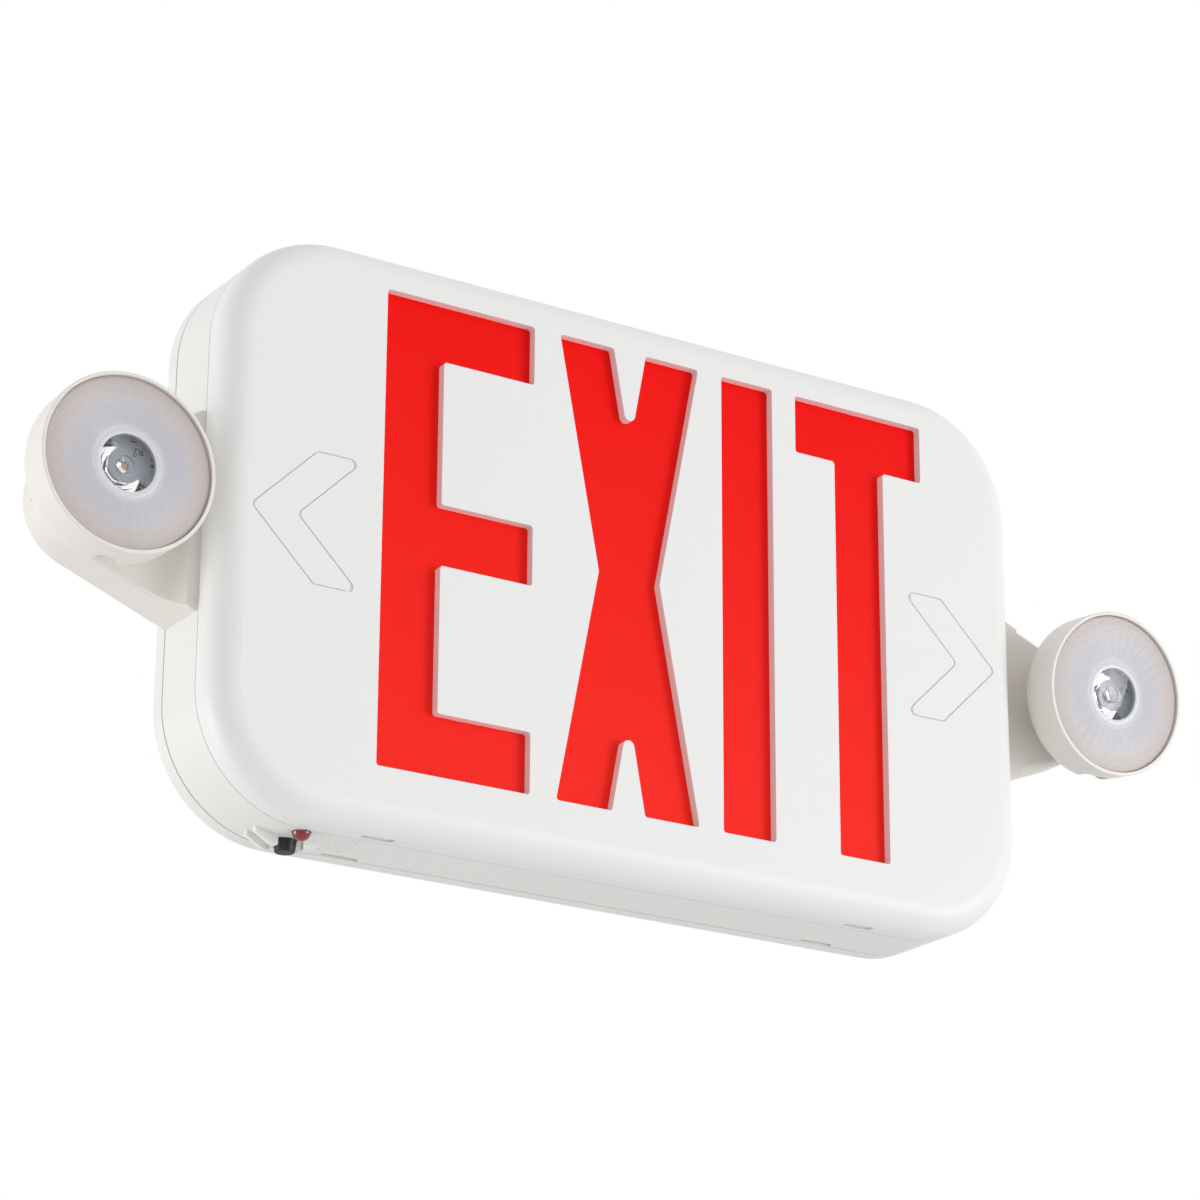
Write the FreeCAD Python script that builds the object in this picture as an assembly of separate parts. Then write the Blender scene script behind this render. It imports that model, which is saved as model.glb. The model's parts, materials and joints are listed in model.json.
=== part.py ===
import FreeCAD, Part
import math
import os

# Wall-mounted emergency exit light with two adjustable lamp heads.
# Millimetres. The origin is the centre of the wall face, +Y runs into the wall, +Z is up,
# +X is to the right of someone who faces the sign, and the sign's face looks along -Y.

Vector = FreeCAD.Vector

# ---------------------------------------------------------------- driving dimensions

# Housing: a back plate, a middle band and a front cover, one behind the other.
body_width = 294.0
body_height = 184.0
body_corner = 38.0
back_depth = 5.5
band_depth = 21.2
cover_depth = 12.3
front_round = 8.5
wall = 2.5
face_thickness = 3.0
cover_seam = 0.3
back_seam = 0.6
inner_round = 5.0

# Tongues that centre one shell in the next, and the snaps that hold the cover on.
tongue_depth = 5.4
tongue_wall = 1.6
tongue_clearance = 0.2
latch_x = 87.0
latch_slot_width = 11.0
latch_slot_height = 3.4
latch_setback = 3.3
latch_nib_width = 9.4
latch_nib_height = 2.4
latch_nib_proud = 1.9
pry_notch_width = 13.0
pry_notch_height = 2.4
pry_notch_depth = 1.0

# The EXIT legend. Letters are six inches high.
letter_height = 152.4
letter_bar = 19.6
letter_corner = 1.0
letter_e_width = 52.7
letter_e_stem = 20.3
letter_x_width = 52.0
letter_x_stroke = 20.0
letter_x_waist = 22.4
letter_x_notch = 32.4
letter_i_width = 19.8
letter_t_width = 50.3
letter_t_stem = 19.4
letter_e_to_x = 9.3
letter_x_to_i = 8.9
letter_i_to_t = 9.1
legend_rise = 3.5

# Direction chevrons, moulded as knock-outs.
chevron_tip_x = 137.6
chevron_back_x = 116.0
chevron_arm = 16.1
chevron_half_height = 21.2
chevron_corner = 1.8
knockout_groove = 0.45
knockout_depth = 0.6
knockout_skin = 0.8

# Red panel behind the letters, staked to the cover.
panel_thickness = 1.5
panel_clearance = 0.6
stake_radius = 1.6
stake_head_radius = 2.8
stake_head_height = 0.8
stake_clearance = 0.15
stake_x = 120.0
stake_z = 60.0

# Web across the band, which carries the light strips in front and the works behind.
web_setback = 2.2
web_thickness = 2.0
web_wire_hole_radius = 7.0

# Light strips for the legend.
strip_length = 224.0
strip_height = 10.0
strip_z = 38.0
board_thickness = 1.2
strip_led_count = 12
strip_led_width = 3.0
strip_led_height = 2.8
strip_led_depth = 1.2
strip_screw_inset = 3.0

# Small pan-head screws.
screw_radius = 1.3
screw_head_radius = 2.4
screw_head_height = 1.6
screw_length = 5.0
screw_boss_radius = 2.9
screw_hole_clearance = 0.15

# Control board with its transformer and terminal block.
control_width = 96.0
control_height = 70.0
control_x = 78.0
control_z = 0.0
control_standoff = 4.0
control_screw_inset = 5.0
transformer_width = 32.0
transformer_height = 27.0
transformer_depth = 11.5
transformer_coil_width = 20.0
transformer_lamination = 4.0
terminal_pitch = 5.0
terminal_count = 4
terminal_height = 9.0
terminal_depth = 9.0
terminal_bore = 1.5
terminal_inset = 12.0
terminal_edge = 4.0

# Rechargeable battery pack: cells side by side in one sleeve, under a strap.
cell_radius = 7.2
cell_length = 50.0
cell_count = 3
battery_x = -74.0
battery_z = 8.0
strap_width = 12.0
strap_thickness = 1.2
strap_foot = 9.0
strap_clearance = 0.3

# Test button, its switch and the AC indicator, in the band's bottom wall.
service_x = -109.0
button_setback = 25.5
indicator_setback = 15.4
button_root_radius = 3.5
button_tip_radius = 3.05
button_proud = 3.75
button_flange_radius = 4.5
button_flange_thickness = 1.3
button_running_clearance = 0.08
button_rest_gap = 0.3
button_travel = 1.5
indicator_radius = 2.9
indicator_proud = 2.7
indicator_flange = 0.5
indicator_clearance = 0.1
switch_size = 6.0
switch_body_depth = 4.0
plunger_radius = 1.6
plunger_clearance = 0.06
service_board_height = 11.0
service_board_width = 16.0
service_board_length = 18.6
service_post_radius = 2.0
guard_reach = 11.0
guard_height = 3.0
guard_thickness = 1.7
guard_spacing = 5.6
guard_gap = 0.7

# Arms at the sides that carry the lamp heads.
arm_half_height = 31.7
arm_taper = 21.4
arm_end_radius = 19.0
arm_front_setback = 13.4
arm_pad_setback = 19.0
arm_blend = 12.0
arm_shoulder = 1.5
arm_edge_round = 2.5
arm_wall = 2.0
arm_collar_half_height = 22.0
arm_collar_depth = 10.0
arm_collar_length = 2.6
arm_collar_wall = 1.8
arm_fit = 0.2
arm_nib = 1.0
arm_cover_thickness = 2.0
arm_slit_length = 5.0
arm_slit_width = 0.7
lamp_x = 181.3

# Swivel joint between the arm and the lamp head.
swivel_radius = 6.0
swivel_bore_clearance = 0.06
swivel_boss_radius = 9.5
swivel_boss_depth = 5.0
swivel_flange_radius = 10.5
swivel_flange_thickness = 1.6
swivel_gap = 0.3
swivel_wire_bore = 2.6
clip_radius = 8.6
clip_thickness = 1.0
clip_groove = 0.9
neck_width = 9.0
neck_thickness = 8.0

# Lamp head: a shallow cup with a ribbed lens, on a cross pin.
rim_proud = 9.3
cup_radius = 27.5
cup_draft = 0.5
cup_depth = 18.5
cup_wall = 1.5
cup_rear_round = 8.0
cup_rim_width = 1.1
cup_rim_round = 0.4
pivot_depth = 14.0
pin_radius = 1.5
pin_clearance = 0.05
ear_thickness = 3.0
ear_gap = 0.3
slot_forward_depth = 7.2
slot_top = 5.4
slot_round = 2.0
lens_inset = 0.8
lens_thickness = 1.7
lens_clearance = 0.15
lens_window_radius = 8.75
lens_boss_tip_radius = 5.6
lens_boss_depth = 2.9
lens_pocket_radius = 3.0
lens_pocket_depth = 1.6
lamp_board_radius = 19.0
lamp_board_depth = 7.0
emitter_size = 3.5
emitter_base = 0.8
emitter_dome_radius = 1.6
lamp_post_circle = 15.0
lamp_post_radius = 2.4
lamp_post_count = 3
lamp_screw_length = 4.0
left_rest_tilt = 0.0
right_rest_tilt = 7.5

# Openings in the back plate.
back_floor = 2.5
cable_radius = 11.0
wall_screw_radius = 2.25
wall_screw_spacing_x = 220.0
wall_screw_spacing_z = 110.0
box_screw_spacing = 83.3
back_hook_x = 60.0
back_hook_width = 12.0
back_hook_height = 7.0
back_hook_nib = 0.9
back_hook_thickness = 1.6

# ---------------------------------------------------------------- planes worked out from them

half_width = body_width / 2
half_height = body_height / 2
back_seam_y = -back_depth
cover_seam_y = back_seam_y - band_depth
face_y = cover_seam_y - cover_depth
panel_front_y = face_y + face_thickness
panel_rear_y = panel_front_y + panel_thickness
web_front_y = cover_seam_y + web_setback
web_rear_y = web_front_y + web_thickness
floor_y = -back_floor
bottom_z = -half_height
bottom_inner_z = bottom_z + wall
button_y = face_y + button_setback
indicator_y = face_y + indicator_setback
arm_front_y = face_y + arm_front_setback
arm_pad_y = face_y + arm_pad_setback
rim_y = face_y - rim_proud
cup_rear_y = rim_y + cup_depth
pivot_y = rim_y + pivot_depth
lens_front_y = rim_y + lens_inset
lens_seat_y = lens_front_y + lens_thickness
lamp_board_y = rim_y + lamp_board_depth
slot_half = neck_width / 2 + ear_gap


# ---------------------------------------------------------------- drawing helpers

def corners(points, radius):
    """Give every (x, z) point the same corner radius."""
    return [(x, z, radius) for x, z in points]


def rectangle(width, height, radius, x=0.0, z=0.0):
    """Rounded rectangle in the wall plane."""
    points = [
        (x - width / 2, z - height / 2),
        (x + width / 2, z - height / 2),
        (x + width / 2, z + height / 2),
        (x - width / 2, z + height / 2),
    ]
    return corners(points, radius)


def outline(points):
    """Closed wire in the plane y = 0 through (x, z, corner radius) points."""
    count = len(points)
    arcs = []
    for index in range(count):
        here = Vector(points[index][0], 0, points[index][1])
        before = Vector(points[index - 1][0], 0, points[index - 1][1])
        after = Vector(points[(index + 1) % count][0], 0, points[(index + 1) % count][1])
        radius = points[index][2]
        back = (before - here).normalize()
        ahead = (after - here).normalize()
        half_angle = back.getAngle(ahead) / 2
        reach = radius / math.tan(half_angle)
        inward = (back + ahead).normalize()
        middle = here + inward * (radius / math.sin(half_angle) - radius)
        arcs.append((here + back * reach, middle, here + ahead * reach, radius))
    edges = []
    for index in range(count):
        start, middle, end, radius = arcs[index]
        if radius > 0:
            edges.append(Part.Arc(start, middle, end).toShape())
        following = arcs[(index + 1) % count][0]
        if end.distanceToPoint(following) > 1e-6:
            edges.append(Part.LineSegment(end, following).toShape())
    return Part.Wire(edges)


def slab(points, y_front, y_rear):
    """Solid with a wall-plane outline, between two planes parallel to the wall."""
    solid = Part.Face(outline(points)).extrude(Vector(0, y_rear - y_front, 0))
    solid.translate(Vector(0, y_front, 0))
    return solid


def block(x_low, x_high, y_low, y_high, z_low, z_high):
    """Plain box between its limits."""
    return Part.makeBox(x_high - x_low, y_high - y_low, z_high - z_low, Vector(x_low, y_low, z_low))


def peg(radius, x, z, y_front, y_rear):
    """Cylinder along Y."""
    return Part.makeCylinder(radius, y_rear - y_front, Vector(x, y_front, z), Vector(0, 1, 0))


def stud(radius, x, y, z_low, z_high):
    """Cylinder along Z."""
    return Part.makeCylinder(radius, z_high - z_low, Vector(x, y, z_low), Vector(0, 0, 1))


def turned(points):
    """Solid of revolution about the Y axis from (radius, y) points."""
    path = [Vector(radius, y, 0) for radius, y in points]
    path.append(path[0])
    return Part.Face(Part.makePolygon(path)).revolve(Vector(0, 0, 0), Vector(0, 1, 0), 360)


def rim_edges(solid, radius, y):
    """Circular edges about the Y axis, of one radius in one plane."""
    found = []
    for edge in solid.Edges:
        curve = edge.Curve
        if isinstance(curve, Part.Circle) and abs(curve.Radius - radius) < 1e-4 and abs(curve.Center.y - y) < 1e-4:
            found.append(edge)
    return found


def edges_in_plane(solid, y):
    """Edges that lie in a plane parallel to the wall."""
    box_of = [(edge, edge.BoundBox) for edge in solid.Edges]
    return [edge for edge, box in box_of if abs(box.YMin - y) < 1e-4 and abs(box.YMax - y) < 1e-4]


def edges_along_y(solid):
    """Straight edges square to the wall."""
    found = []
    for edge in solid.Edges:
        box = edge.BoundBox
        if box.YLength > 1e-3 and box.XLength < 1e-4 and box.ZLength < 1e-4:
            found.append(edge)
    return found


def body_form(inset, y_front, y_rear):
    """The housing's plan shape, shrunk by an inset, between two planes."""
    plan = rectangle(body_width - 2 * inset, body_height - 2 * inset, body_corner - inset)
    return slab(plan, y_front, y_rear)


def body_ring(inset, thickness, y_front, y_rear):
    """A band that follows the housing's plan shape."""
    return body_form(inset, y_front, y_rear).cut(body_form(inset + thickness, y_front - 1, y_rear + 1))


def together(first, others):
    """One solid from several that touch."""
    return first.fuse(others).removeSplitter()


def mirror_x(shape):
    """The same shape on the other side of the sign."""
    return shape.mirror(Vector(0, 0, 0), Vector(1, 0, 0))


def pan_screw(x, z, y_seat, length):
    """Pan-head screw whose head sits on a face at y_seat and looks along -Y."""
    head = peg(screw_head_radius, x, z, y_seat - screw_head_height, y_seat)
    head = head.makeFillet(screw_head_height * 0.6, rim_edges(head, screw_head_radius, y_seat - screw_head_height))
    return head.fuse(peg(screw_radius, x, z, y_seat, y_seat + length)).removeSplitter()


# ---------------------------------------------------------------- legend

legend_width = (
    letter_e_width + letter_e_to_x + letter_x_width + letter_x_to_i + letter_i_width + letter_i_to_t + letter_t_width
)


def letter_e(x):
    """Outline of E with its left edge at x."""
    top = letter_height / 2
    middle = letter_bar / 2
    stem = x + letter_e_stem
    tip = x + letter_e_width
    points = [
        (x, -top),
        (tip, -top),
        (tip, -top + letter_bar),
        (stem, -top + letter_bar),
        (stem, -middle),
        (tip, -middle),
        (tip, middle),
        (stem, middle),
        (stem, top - letter_bar),
        (tip, top - letter_bar),
        (tip, top),
        (x, top),
    ]
    return corners(points, letter_corner)


def letter_x(x):
    """Outline of X with its left edge at x."""
    top = letter_height / 2
    right = x + letter_x_width
    centre = x + letter_x_width / 2
    notch_z = top - letter_x_notch
    waist = letter_x_waist / 2
    return [
        (x, -top, letter_corner),
        (x + letter_x_stroke, -top, letter_corner),
        (centre, -notch_z, 2 * letter_corner),
        (right - letter_x_stroke, -top, letter_corner),
        (right, -top, letter_corner),
        (centre + waist, 0, letter_corner),
        (right, top, letter_corner),
        (right - letter_x_stroke, top, letter_corner),
        (centre, notch_z, 2 * letter_corner),
        (x + letter_x_stroke, top, letter_corner),
        (x, top, letter_corner),
        (centre - waist, 0, letter_corner),
    ]


def letter_i(x):
    """Outline of I with its left edge at x."""
    return rectangle(letter_i_width, letter_height, letter_corner, x + letter_i_width / 2)


def letter_t(x):
    """Outline of T with its left edge at x."""
    top = letter_height / 2
    centre = x + letter_t_width / 2
    stem = letter_t_stem / 2
    points = [
        (centre - stem, -top),
        (centre + stem, -top),
        (centre + stem, top - letter_bar),
        (x + letter_t_width, top - letter_bar),
        (x + letter_t_width, top),
        (x, top),
        (x, top - letter_bar),
        (centre - stem, top - letter_bar),
    ]
    return corners(points, letter_corner)


def legend_cuts():
    """The four letters as cutting prisms, centred from the stem of E to the stem of T."""
    overhang = (letter_t_width - letter_t_stem) / 2
    left_e = (overhang - legend_width) / 2
    left_x = left_e + letter_e_width + letter_e_to_x
    left_i = left_x + letter_x_width + letter_x_to_i
    left_t = left_i + letter_i_width + letter_i_to_t
    letters = [letter_e(left_e), letter_x(left_x), letter_i(left_i), letter_t(left_t)]
    cuts = []
    for letter in letters:
        cut = slab(letter, face_y - 1, panel_front_y + 1)
        cut.translate(Vector(0, 0, legend_rise))
        cuts.append(cut)
    return cuts


def chevron(inset):
    """Right-hand chevron, its outline moved inwards by an inset."""
    slope = math.atan2(chevron_half_height, chevron_tip_x - chevron_back_x)
    along = inset / math.sin(slope)
    run = inset / math.tan(slope)
    half = chevron_half_height - inset
    apex = chevron_tip_x - chevron_arm
    rear = chevron_back_x - chevron_arm
    points = [
        (chevron_tip_x - along, 0),
        (chevron_back_x - along + run, half),
        (rear + along + run, half),
        (apex + along, 0),
        (rear + along + run, -half),
        (chevron_back_x - along + run, -half),
    ]
    return corners(points, chevron_corner)


def knockout_cuts():
    """Grooves round both chevrons, from the front and, deeper, from the rear."""
    front = slab(chevron(0), face_y - 1, face_y + knockout_depth)
    front = front.cut(slab(chevron(knockout_groove), face_y - 2, face_y + knockout_depth + 1))
    rear_start = face_y + knockout_depth + knockout_skin
    rear = slab(chevron(0), rear_start, panel_front_y + 1)
    rear = rear.cut(slab(chevron(knockout_groove), rear_start - 1, panel_front_y + 2))
    return [front, rear, mirror_x(front), mirror_x(rear)]


# ---------------------------------------------------------------- housing

def latch_places():
    """Where the cover's snaps sit: (x, which side: -1 bottom, +1 top)."""
    return [(x, side) for x in (-latch_x, latch_x) for side in (-1, 1)]


def latch_form(x, side, width, height, z_inner, z_outer):
    """Round-ended prism along Z through the top or bottom wall at a latch."""
    centre_y = cover_seam_y - latch_setback
    form = block(
        x - width / 2, x + width / 2,
        centre_y - height / 2, centre_y + height / 2,
        min(side * z_inner, side * z_outer), max(side * z_inner, side * z_outer),
    )
    ends = []
    for edge in form.Edges:
        if edge.BoundBox.ZLength > 1e-3:
            ends.append(edge)
    return form.makeFillet(height * 0.45, ends)


def stake_places():
    return [(x, z) for x in (-stake_x, stake_x) for z in (-stake_z, stake_z)]


def make_front_cover():
    rim_rear = cover_seam_y - cover_seam / 2
    shell = body_form(0, face_y, rim_rear)
    shell = shell.makeFillet(front_round, edges_in_plane(shell, face_y))
    cavity = body_form(wall, panel_front_y, rim_rear + 1)
    cavity = cavity.makeFillet(inner_round, edges_in_plane(cavity, panel_front_y))
    shell = shell.cut([cavity] + legend_cuts() + knockout_cuts())
    slots = []
    for x, side in latch_places():
        slots.append(latch_form(x, side, latch_slot_width, latch_slot_height, half_height - wall - 1, half_height + 1))
    shell = shell.cut(slots)
    stakes = []
    for x, z in stake_places():
        stakes.append(peg(stake_radius, x, z, panel_front_y - 0.5, panel_rear_y))
        stakes.append(peg(stake_head_radius, x, z, panel_rear_y, panel_rear_y + stake_head_height))
    return together(shell, stakes)


def make_legend_panel():
    inset = wall + inner_round + panel_clearance
    plan = rectangle(body_width - 2 * inset, body_height - 2 * inset, body_corner - inset)
    panel = slab(plan, panel_front_y, panel_rear_y)
    holes = []
    for x, z in stake_places():
        holes.append(peg(stake_radius + stake_clearance, x, z, panel_front_y - 1, panel_rear_y + 1))
    return panel.cut(holes)


def strip_screw_places(z):
    reach = strip_length / 2 - strip_screw_inset
    return [(x, z) for x in (-reach, 0.0, reach)]


def control_screw_places():
    reach_x = control_width / 2 - control_screw_inset
    reach_z = control_height / 2 - control_screw_inset
    return [(control_x + sx * reach_x, control_z + sz * reach_z) for sx in (-1, 1) for sz in (-1, 1)]


def strap_screw_places():
    foot_z = cell_count * cell_radius + strap_clearance + strap_thickness + strap_foot / 2
    return [(battery_x, battery_z + side * foot_z) for side in (-1, 1)]


def arm_window(side, clearance):
    """The opening in the band's side wall that an arm's collar passes through."""
    reach = arm_collar_half_height + clearance
    y_rear = back_seam_y - 4.0 + clearance
    y_front = y_rear - arm_collar_depth - 2 * clearance
    x_inner = half_width - wall - 1
    x_outer = half_width + 1
    return block(min(side * x_inner, side * x_outer), max(side * x_inner, side * x_outer), y_front, y_rear, -reach, reach)


def guard_fins():
    """Wedge fins beside the test button that keep it from being knocked."""
    fins = []
    root_z = bottom_z + 1.8
    for side in (-1, 1):
        near = service_x + side * (button_root_radius + guard_gap)
        far = service_x + side * (button_root_radius + guard_gap + guard_reach - 3.5)
        profile = [
            (near, root_z, 0),
            (near, bottom_z - guard_height, 0.5),
            (near + side * 2.4, bottom_z - guard_height * 0.9, 1.2),
            (far, bottom_z + 0.3, 0),
            (far, root_z, 0),
        ]
        for offset in (-guard_spacing / 2, guard_spacing / 2):
            y_front = button_y + offset - guard_thickness / 2
            fins.append(slab(profile, y_front, y_front + guard_thickness))
    return fins


def service_posts():
    """Posts on the bottom wall that carry the switch board."""
    top = bottom_inner_z + service_board_height
    reach = service_board_width / 2 - service_post_radius
    y = button_y + service_post_radius + switch_size / 2
    return [stud(service_post_radius, service_x + side * reach, y, bottom_inner_z - 0.5, top) for side in (-1, 1)]


def make_mid_housing():
    front = cover_seam_y + cover_seam / 2
    rear = back_seam_y - back_seam / 2
    band = body_ring(0, wall, front, rear)
    web = body_form(wall - 0.5, web_front_y, web_rear_y)
    tongue = body_ring(wall + tongue_clearance, tongue_wall, cover_seam_y - tongue_depth, web_front_y + 0.5)
    parts = [web, tongue]
    for x, side in latch_places():
        inner = half_height - wall - tongue_clearance - tongue_wall / 2
        outer = inner + tongue_wall / 2 + tongue_clearance + latch_nib_proud
        parts.append(latch_form(x, side, latch_nib_width, latch_nib_height, inner, outer))
    for x, z in control_screw_places():
        parts.append(peg(screw_boss_radius, x, z, web_rear_y - 0.5, web_rear_y + control_standoff))
    body = together(band, parts)
    # clear the switch board and the indicator, which cross the web near the bottom wall
    bay_half = service_board_width / 2 + 1
    bay_top = bottom_inner_z + service_board_height + board_thickness + 1
    bay = block(
        service_x - bay_half, service_x + bay_half,
        indicator_y - indicator_radius - 1, web_rear_y + 1,
        bottom_inner_z + 0.01, bay_top,
    )
    cuts = [bay]
    cuts.append(stud(button_root_radius + button_running_clearance, service_x, button_y, bottom_z - 1, bottom_inner_z + 1))
    cuts.append(stud(indicator_radius + indicator_clearance, service_x, indicator_y, bottom_z - 1, bottom_inner_z + 1))
    for side in (-1, 1):
        cuts.append(arm_window(side, arm_fit))
        cuts.append(peg(web_wire_hole_radius, side * (half_width - 30), -half_height + 40, web_front_y - 1, web_rear_y + 1))
        cuts.append(block(
            side * latch_x - pry_notch_width / 2, side * latch_x + pry_notch_width / 2,
            rear - pry_notch_height, rear + 1,
            bottom_z - 1, bottom_z + pry_notch_depth,
        ))
    for x, z in control_screw_places():
        cuts.append(peg(screw_radius, x, z, web_rear_y, web_rear_y + control_standoff + 1))
    for z in (-strip_z, strip_z):
        for x, hole_z in strip_screw_places(z):
            cuts.append(peg(screw_radius, x, hole_z, web_front_y - 1, web_rear_y + 1))
    for x, z in strap_screw_places():
        cuts.append(peg(screw_radius, x, z, web_front_y - 1, web_rear_y + 1))
    body = body.cut(cuts)
    return together(body, guard_fins() + service_posts())


def back_hook_places():
    return [(x, side) for x in (-back_hook_x, back_hook_x) for side in (-1, 1)]


def make_back_plate():
    front = back_seam_y + back_seam / 2
    plate = body_form(0, floor_y, 0)
    plate = together(plate, [body_ring(0, wall, front, floor_y + 0.5)])
    hooks = []
    for x, side in back_hook_places():
        outer = half_height - wall - tongue_clearance
        inner = outer - back_hook_thickness
        low, high = sorted((side * inner, side * outer))
        tip_y = front - back_hook_height
        hooks.append(block(x - back_hook_width / 2, x + back_hook_width / 2, tip_y, floor_y + 0.5, low, high))
    cuts = [peg(cable_radius, 0, 0, floor_y - 1, 1)]
    for sx in (-1, 1):
        for sz in (-1, 1):
            cuts.append(peg(
                wall_screw_radius, sx * wall_screw_spacing_x / 2, sz * wall_screw_spacing_z / 2, floor_y - 1, 1
            ))
    for side in (-1, 1):
        cuts.append(peg(wall_screw_radius, 0, side * box_screw_spacing / 2, floor_y - 1, 1))
    return together(plate, hooks).cut(cuts)


# ---------------------------------------------------------------- works inside

def make_light_strip(z):
    y_front = web_front_y - board_thickness
    strip = slab(rectangle(strip_length, strip_height, 1.0, 0, z), y_front, web_front_y)
    holes = []
    for x, hole_z in strip_screw_places(z):
        holes.append(peg(screw_radius + screw_hole_clearance, x, hole_z, y_front - 1, web_front_y + 1))
    return strip.cut(holes)


def make_legend_leds():
    y_rear = web_front_y - board_thickness
    pitch = strip_length / strip_led_count
    leds = []
    for z in (-strip_z, strip_z):
        for index in range(strip_led_count):
            x = (index + 0.5) * pitch - strip_length / 2
            leds.append(block(
                x - strip_led_width / 2, x + strip_led_width / 2,
                y_rear - strip_led_depth, y_rear,
                z - strip_led_height / 2, z + strip_led_height / 2,
            ))
    return Part.makeCompound(leds)


def make_strip_screws():
    screws = []
    for z in (-strip_z, strip_z):
        for x, screw_z in strip_screw_places(z):
            screws.append(pan_screw(x, screw_z, web_front_y - board_thickness, board_thickness + web_thickness))
    return Part.makeCompound(screws)


def make_control_board():
    y_front = web_rear_y + control_standoff
    board = slab(rectangle(control_width, control_height, 2.0, control_x, control_z), y_front, y_front + board_thickness)
    holes = []
    for x, z in control_screw_places():
        holes.append(peg(screw_radius + screw_hole_clearance, x, z, y_front - 1, y_front + board_thickness + 1))
    return board.cut(holes)


def make_control_screws():
    """The heads look towards the wall, so each screw is turned end for end."""
    y_seat = web_rear_y + control_standoff + board_thickness
    screws = []
    for x, z in control_screw_places():
        screw = pan_screw(x, z, y_seat, control_standoff + board_thickness - 0.5)
        screw.rotate(Vector(x, y_seat, z), Vector(0, 0, 1), 180)
        screws.append(screw)
    return Part.makeCompound(screws)


def make_transformer():
    """Laminated core with a bobbin through it, soldered to the board."""
    y_low = web_rear_y + control_standoff + board_thickness
    y_high = y_low + transformer_depth
    x = control_x - control_width / 4
    z = control_z
    core = block(
        x - transformer_width / 2, x + transformer_width / 2, y_low, y_high,
        z - transformer_height / 2, z + transformer_height / 2,
    )
    window = (transformer_width - 3 * transformer_lamination) / 2
    cuts = []
    for side in (-1, 1):
        centre = x + side * (transformer_lamination + window) / 2
        cuts.append(block(
            centre - window / 2, centre + window / 2, y_low - 1, y_high + 1,
            z - transformer_height / 2 + transformer_lamination, z + transformer_height / 2 - transformer_lamination,
        ))
    core = core.cut(cuts)
    coil_height = transformer_height - 2 * transformer_lamination
    coil = block(
        x - transformer_coil_width / 2, x + transformer_coil_width / 2, y_low, y_high + 1.5,
        z - coil_height / 2, z + coil_height / 2,
    )
    return together(core, [coil])


def make_terminal_block():
    y_low = web_rear_y + control_standoff + board_thickness
    width = terminal_count * terminal_pitch
    x_low = control_x + control_width / 2 - terminal_inset - width
    z_low = control_z + control_height / 2 - terminal_edge - terminal_height
    terminal = block(x_low, x_low + width, y_low, y_low + terminal_depth, z_low, z_low + terminal_height)
    bores = []
    for index in range(terminal_count):
        x = x_low + (index + 0.5) * terminal_pitch
        bores.append(peg(terminal_bore, x, z_low + terminal_height / 2, y_low + 3, y_low + terminal_depth + 1))
    return terminal.cut(bores)


def battery_profile(extra):
    """Cross-section across the cells: a stadium, grown by a margin."""
    height = 2 * cell_count * cell_radius + 2 * extra
    depth = 2 * cell_radius + 2 * extra
    return height, depth


def battery_form(extra, length):
    """Sleeved row of cells as one rounded bar along X."""
    height, depth = battery_profile(extra)
    centre_y = web_rear_y + cell_radius
    form = block(
        battery_x - length / 2, battery_x + length / 2,
        centre_y - depth / 2, centre_y + depth / 2,
        battery_z - height / 2, battery_z + height / 2,
    )
    long_edges = [edge for edge in form.Edges if edge.BoundBox.XLength > 1e-3]
    return form.makeFillet(depth / 2 - 0.2, long_edges)


def make_battery_pack():
    return battery_form(0, cell_length)


def make_battery_strap():
    """Bent strip over the pack with a foot at each end."""
    over = battery_form(strap_clearance + strap_thickness, strap_width)
    under = battery_form(strap_clearance, strap_width + 2)
    bridge = over.cut(under)
    height, depth = battery_profile(strap_clearance)
    reach = height / 2 + strap_thickness
    front_side = block(
        battery_x - strap_width, battery_x + strap_width,
        web_rear_y - 30, web_rear_y + cell_radius,
        battery_z - 100, battery_z + 100,
    )
    bridge = bridge.cut(front_side)
    feet = []
    for side in (-1, 1):
        low, high = sorted((side * (reach - strap_thickness), side * reach))
        feet.append(block(
            battery_x - strap_width / 2, battery_x + strap_width / 2,
            web_rear_y, web_rear_y + cell_radius + 0.01, battery_z + low, battery_z + high,
        ))
        low, high = sorted((side * (reach - strap_thickness), side * (reach + strap_foot)))
        feet.append(block(
            battery_x - strap_width / 2, battery_x + strap_width / 2,
            web_rear_y, web_rear_y + strap_thickness, battery_z + low, battery_z + high,
        ))
    strap = together(bridge, feet)
    holes = []
    for x, z in strap_screw_places():
        holes.append(peg(screw_radius + screw_hole_clearance, x, z, web_rear_y - 1, web_rear_y + strap_thickness + 1))
    return strap.cut(holes)


def make_strap_screws():
    y_seat = web_rear_y + strap_thickness
    screws = []
    for x, z in strap_screw_places():
        screw = pan_screw(x, z, y_seat, strap_thickness + web_thickness)
        screw.rotate(Vector(x, y_seat, z), Vector(0, 0, 1), 180)
        screws.append(screw)
    return Part.makeCompound(screws)


# ---------------------------------------------------------------- test button and indicator

service_board_z = bottom_inner_z + service_board_height


def make_service_board():
    y_front = indicator_y - indicator_radius
    return block(
        service_x - service_board_width / 2, service_x + service_board_width / 2,
        y_front, y_front + service_board_length,
        service_board_z, service_board_z + board_thickness,
    )


def make_test_switch():
    z_low = service_board_z - switch_body_depth
    body = block(
        service_x - switch_size / 2, service_x + switch_size / 2,
        button_y - switch_size / 2, button_y + switch_size / 2,
        z_low, service_board_z,
    )
    bore_top = service_board_z - 0.7
    return body.cut(stud(plunger_radius + plunger_clearance, service_x, button_y, z_low - 1, bore_top))


def make_switch_plunger():
    top = service_board_z - 1.0 - button_travel
    return stud(plunger_radius, service_x, button_y, button_top_z, top)


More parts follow.
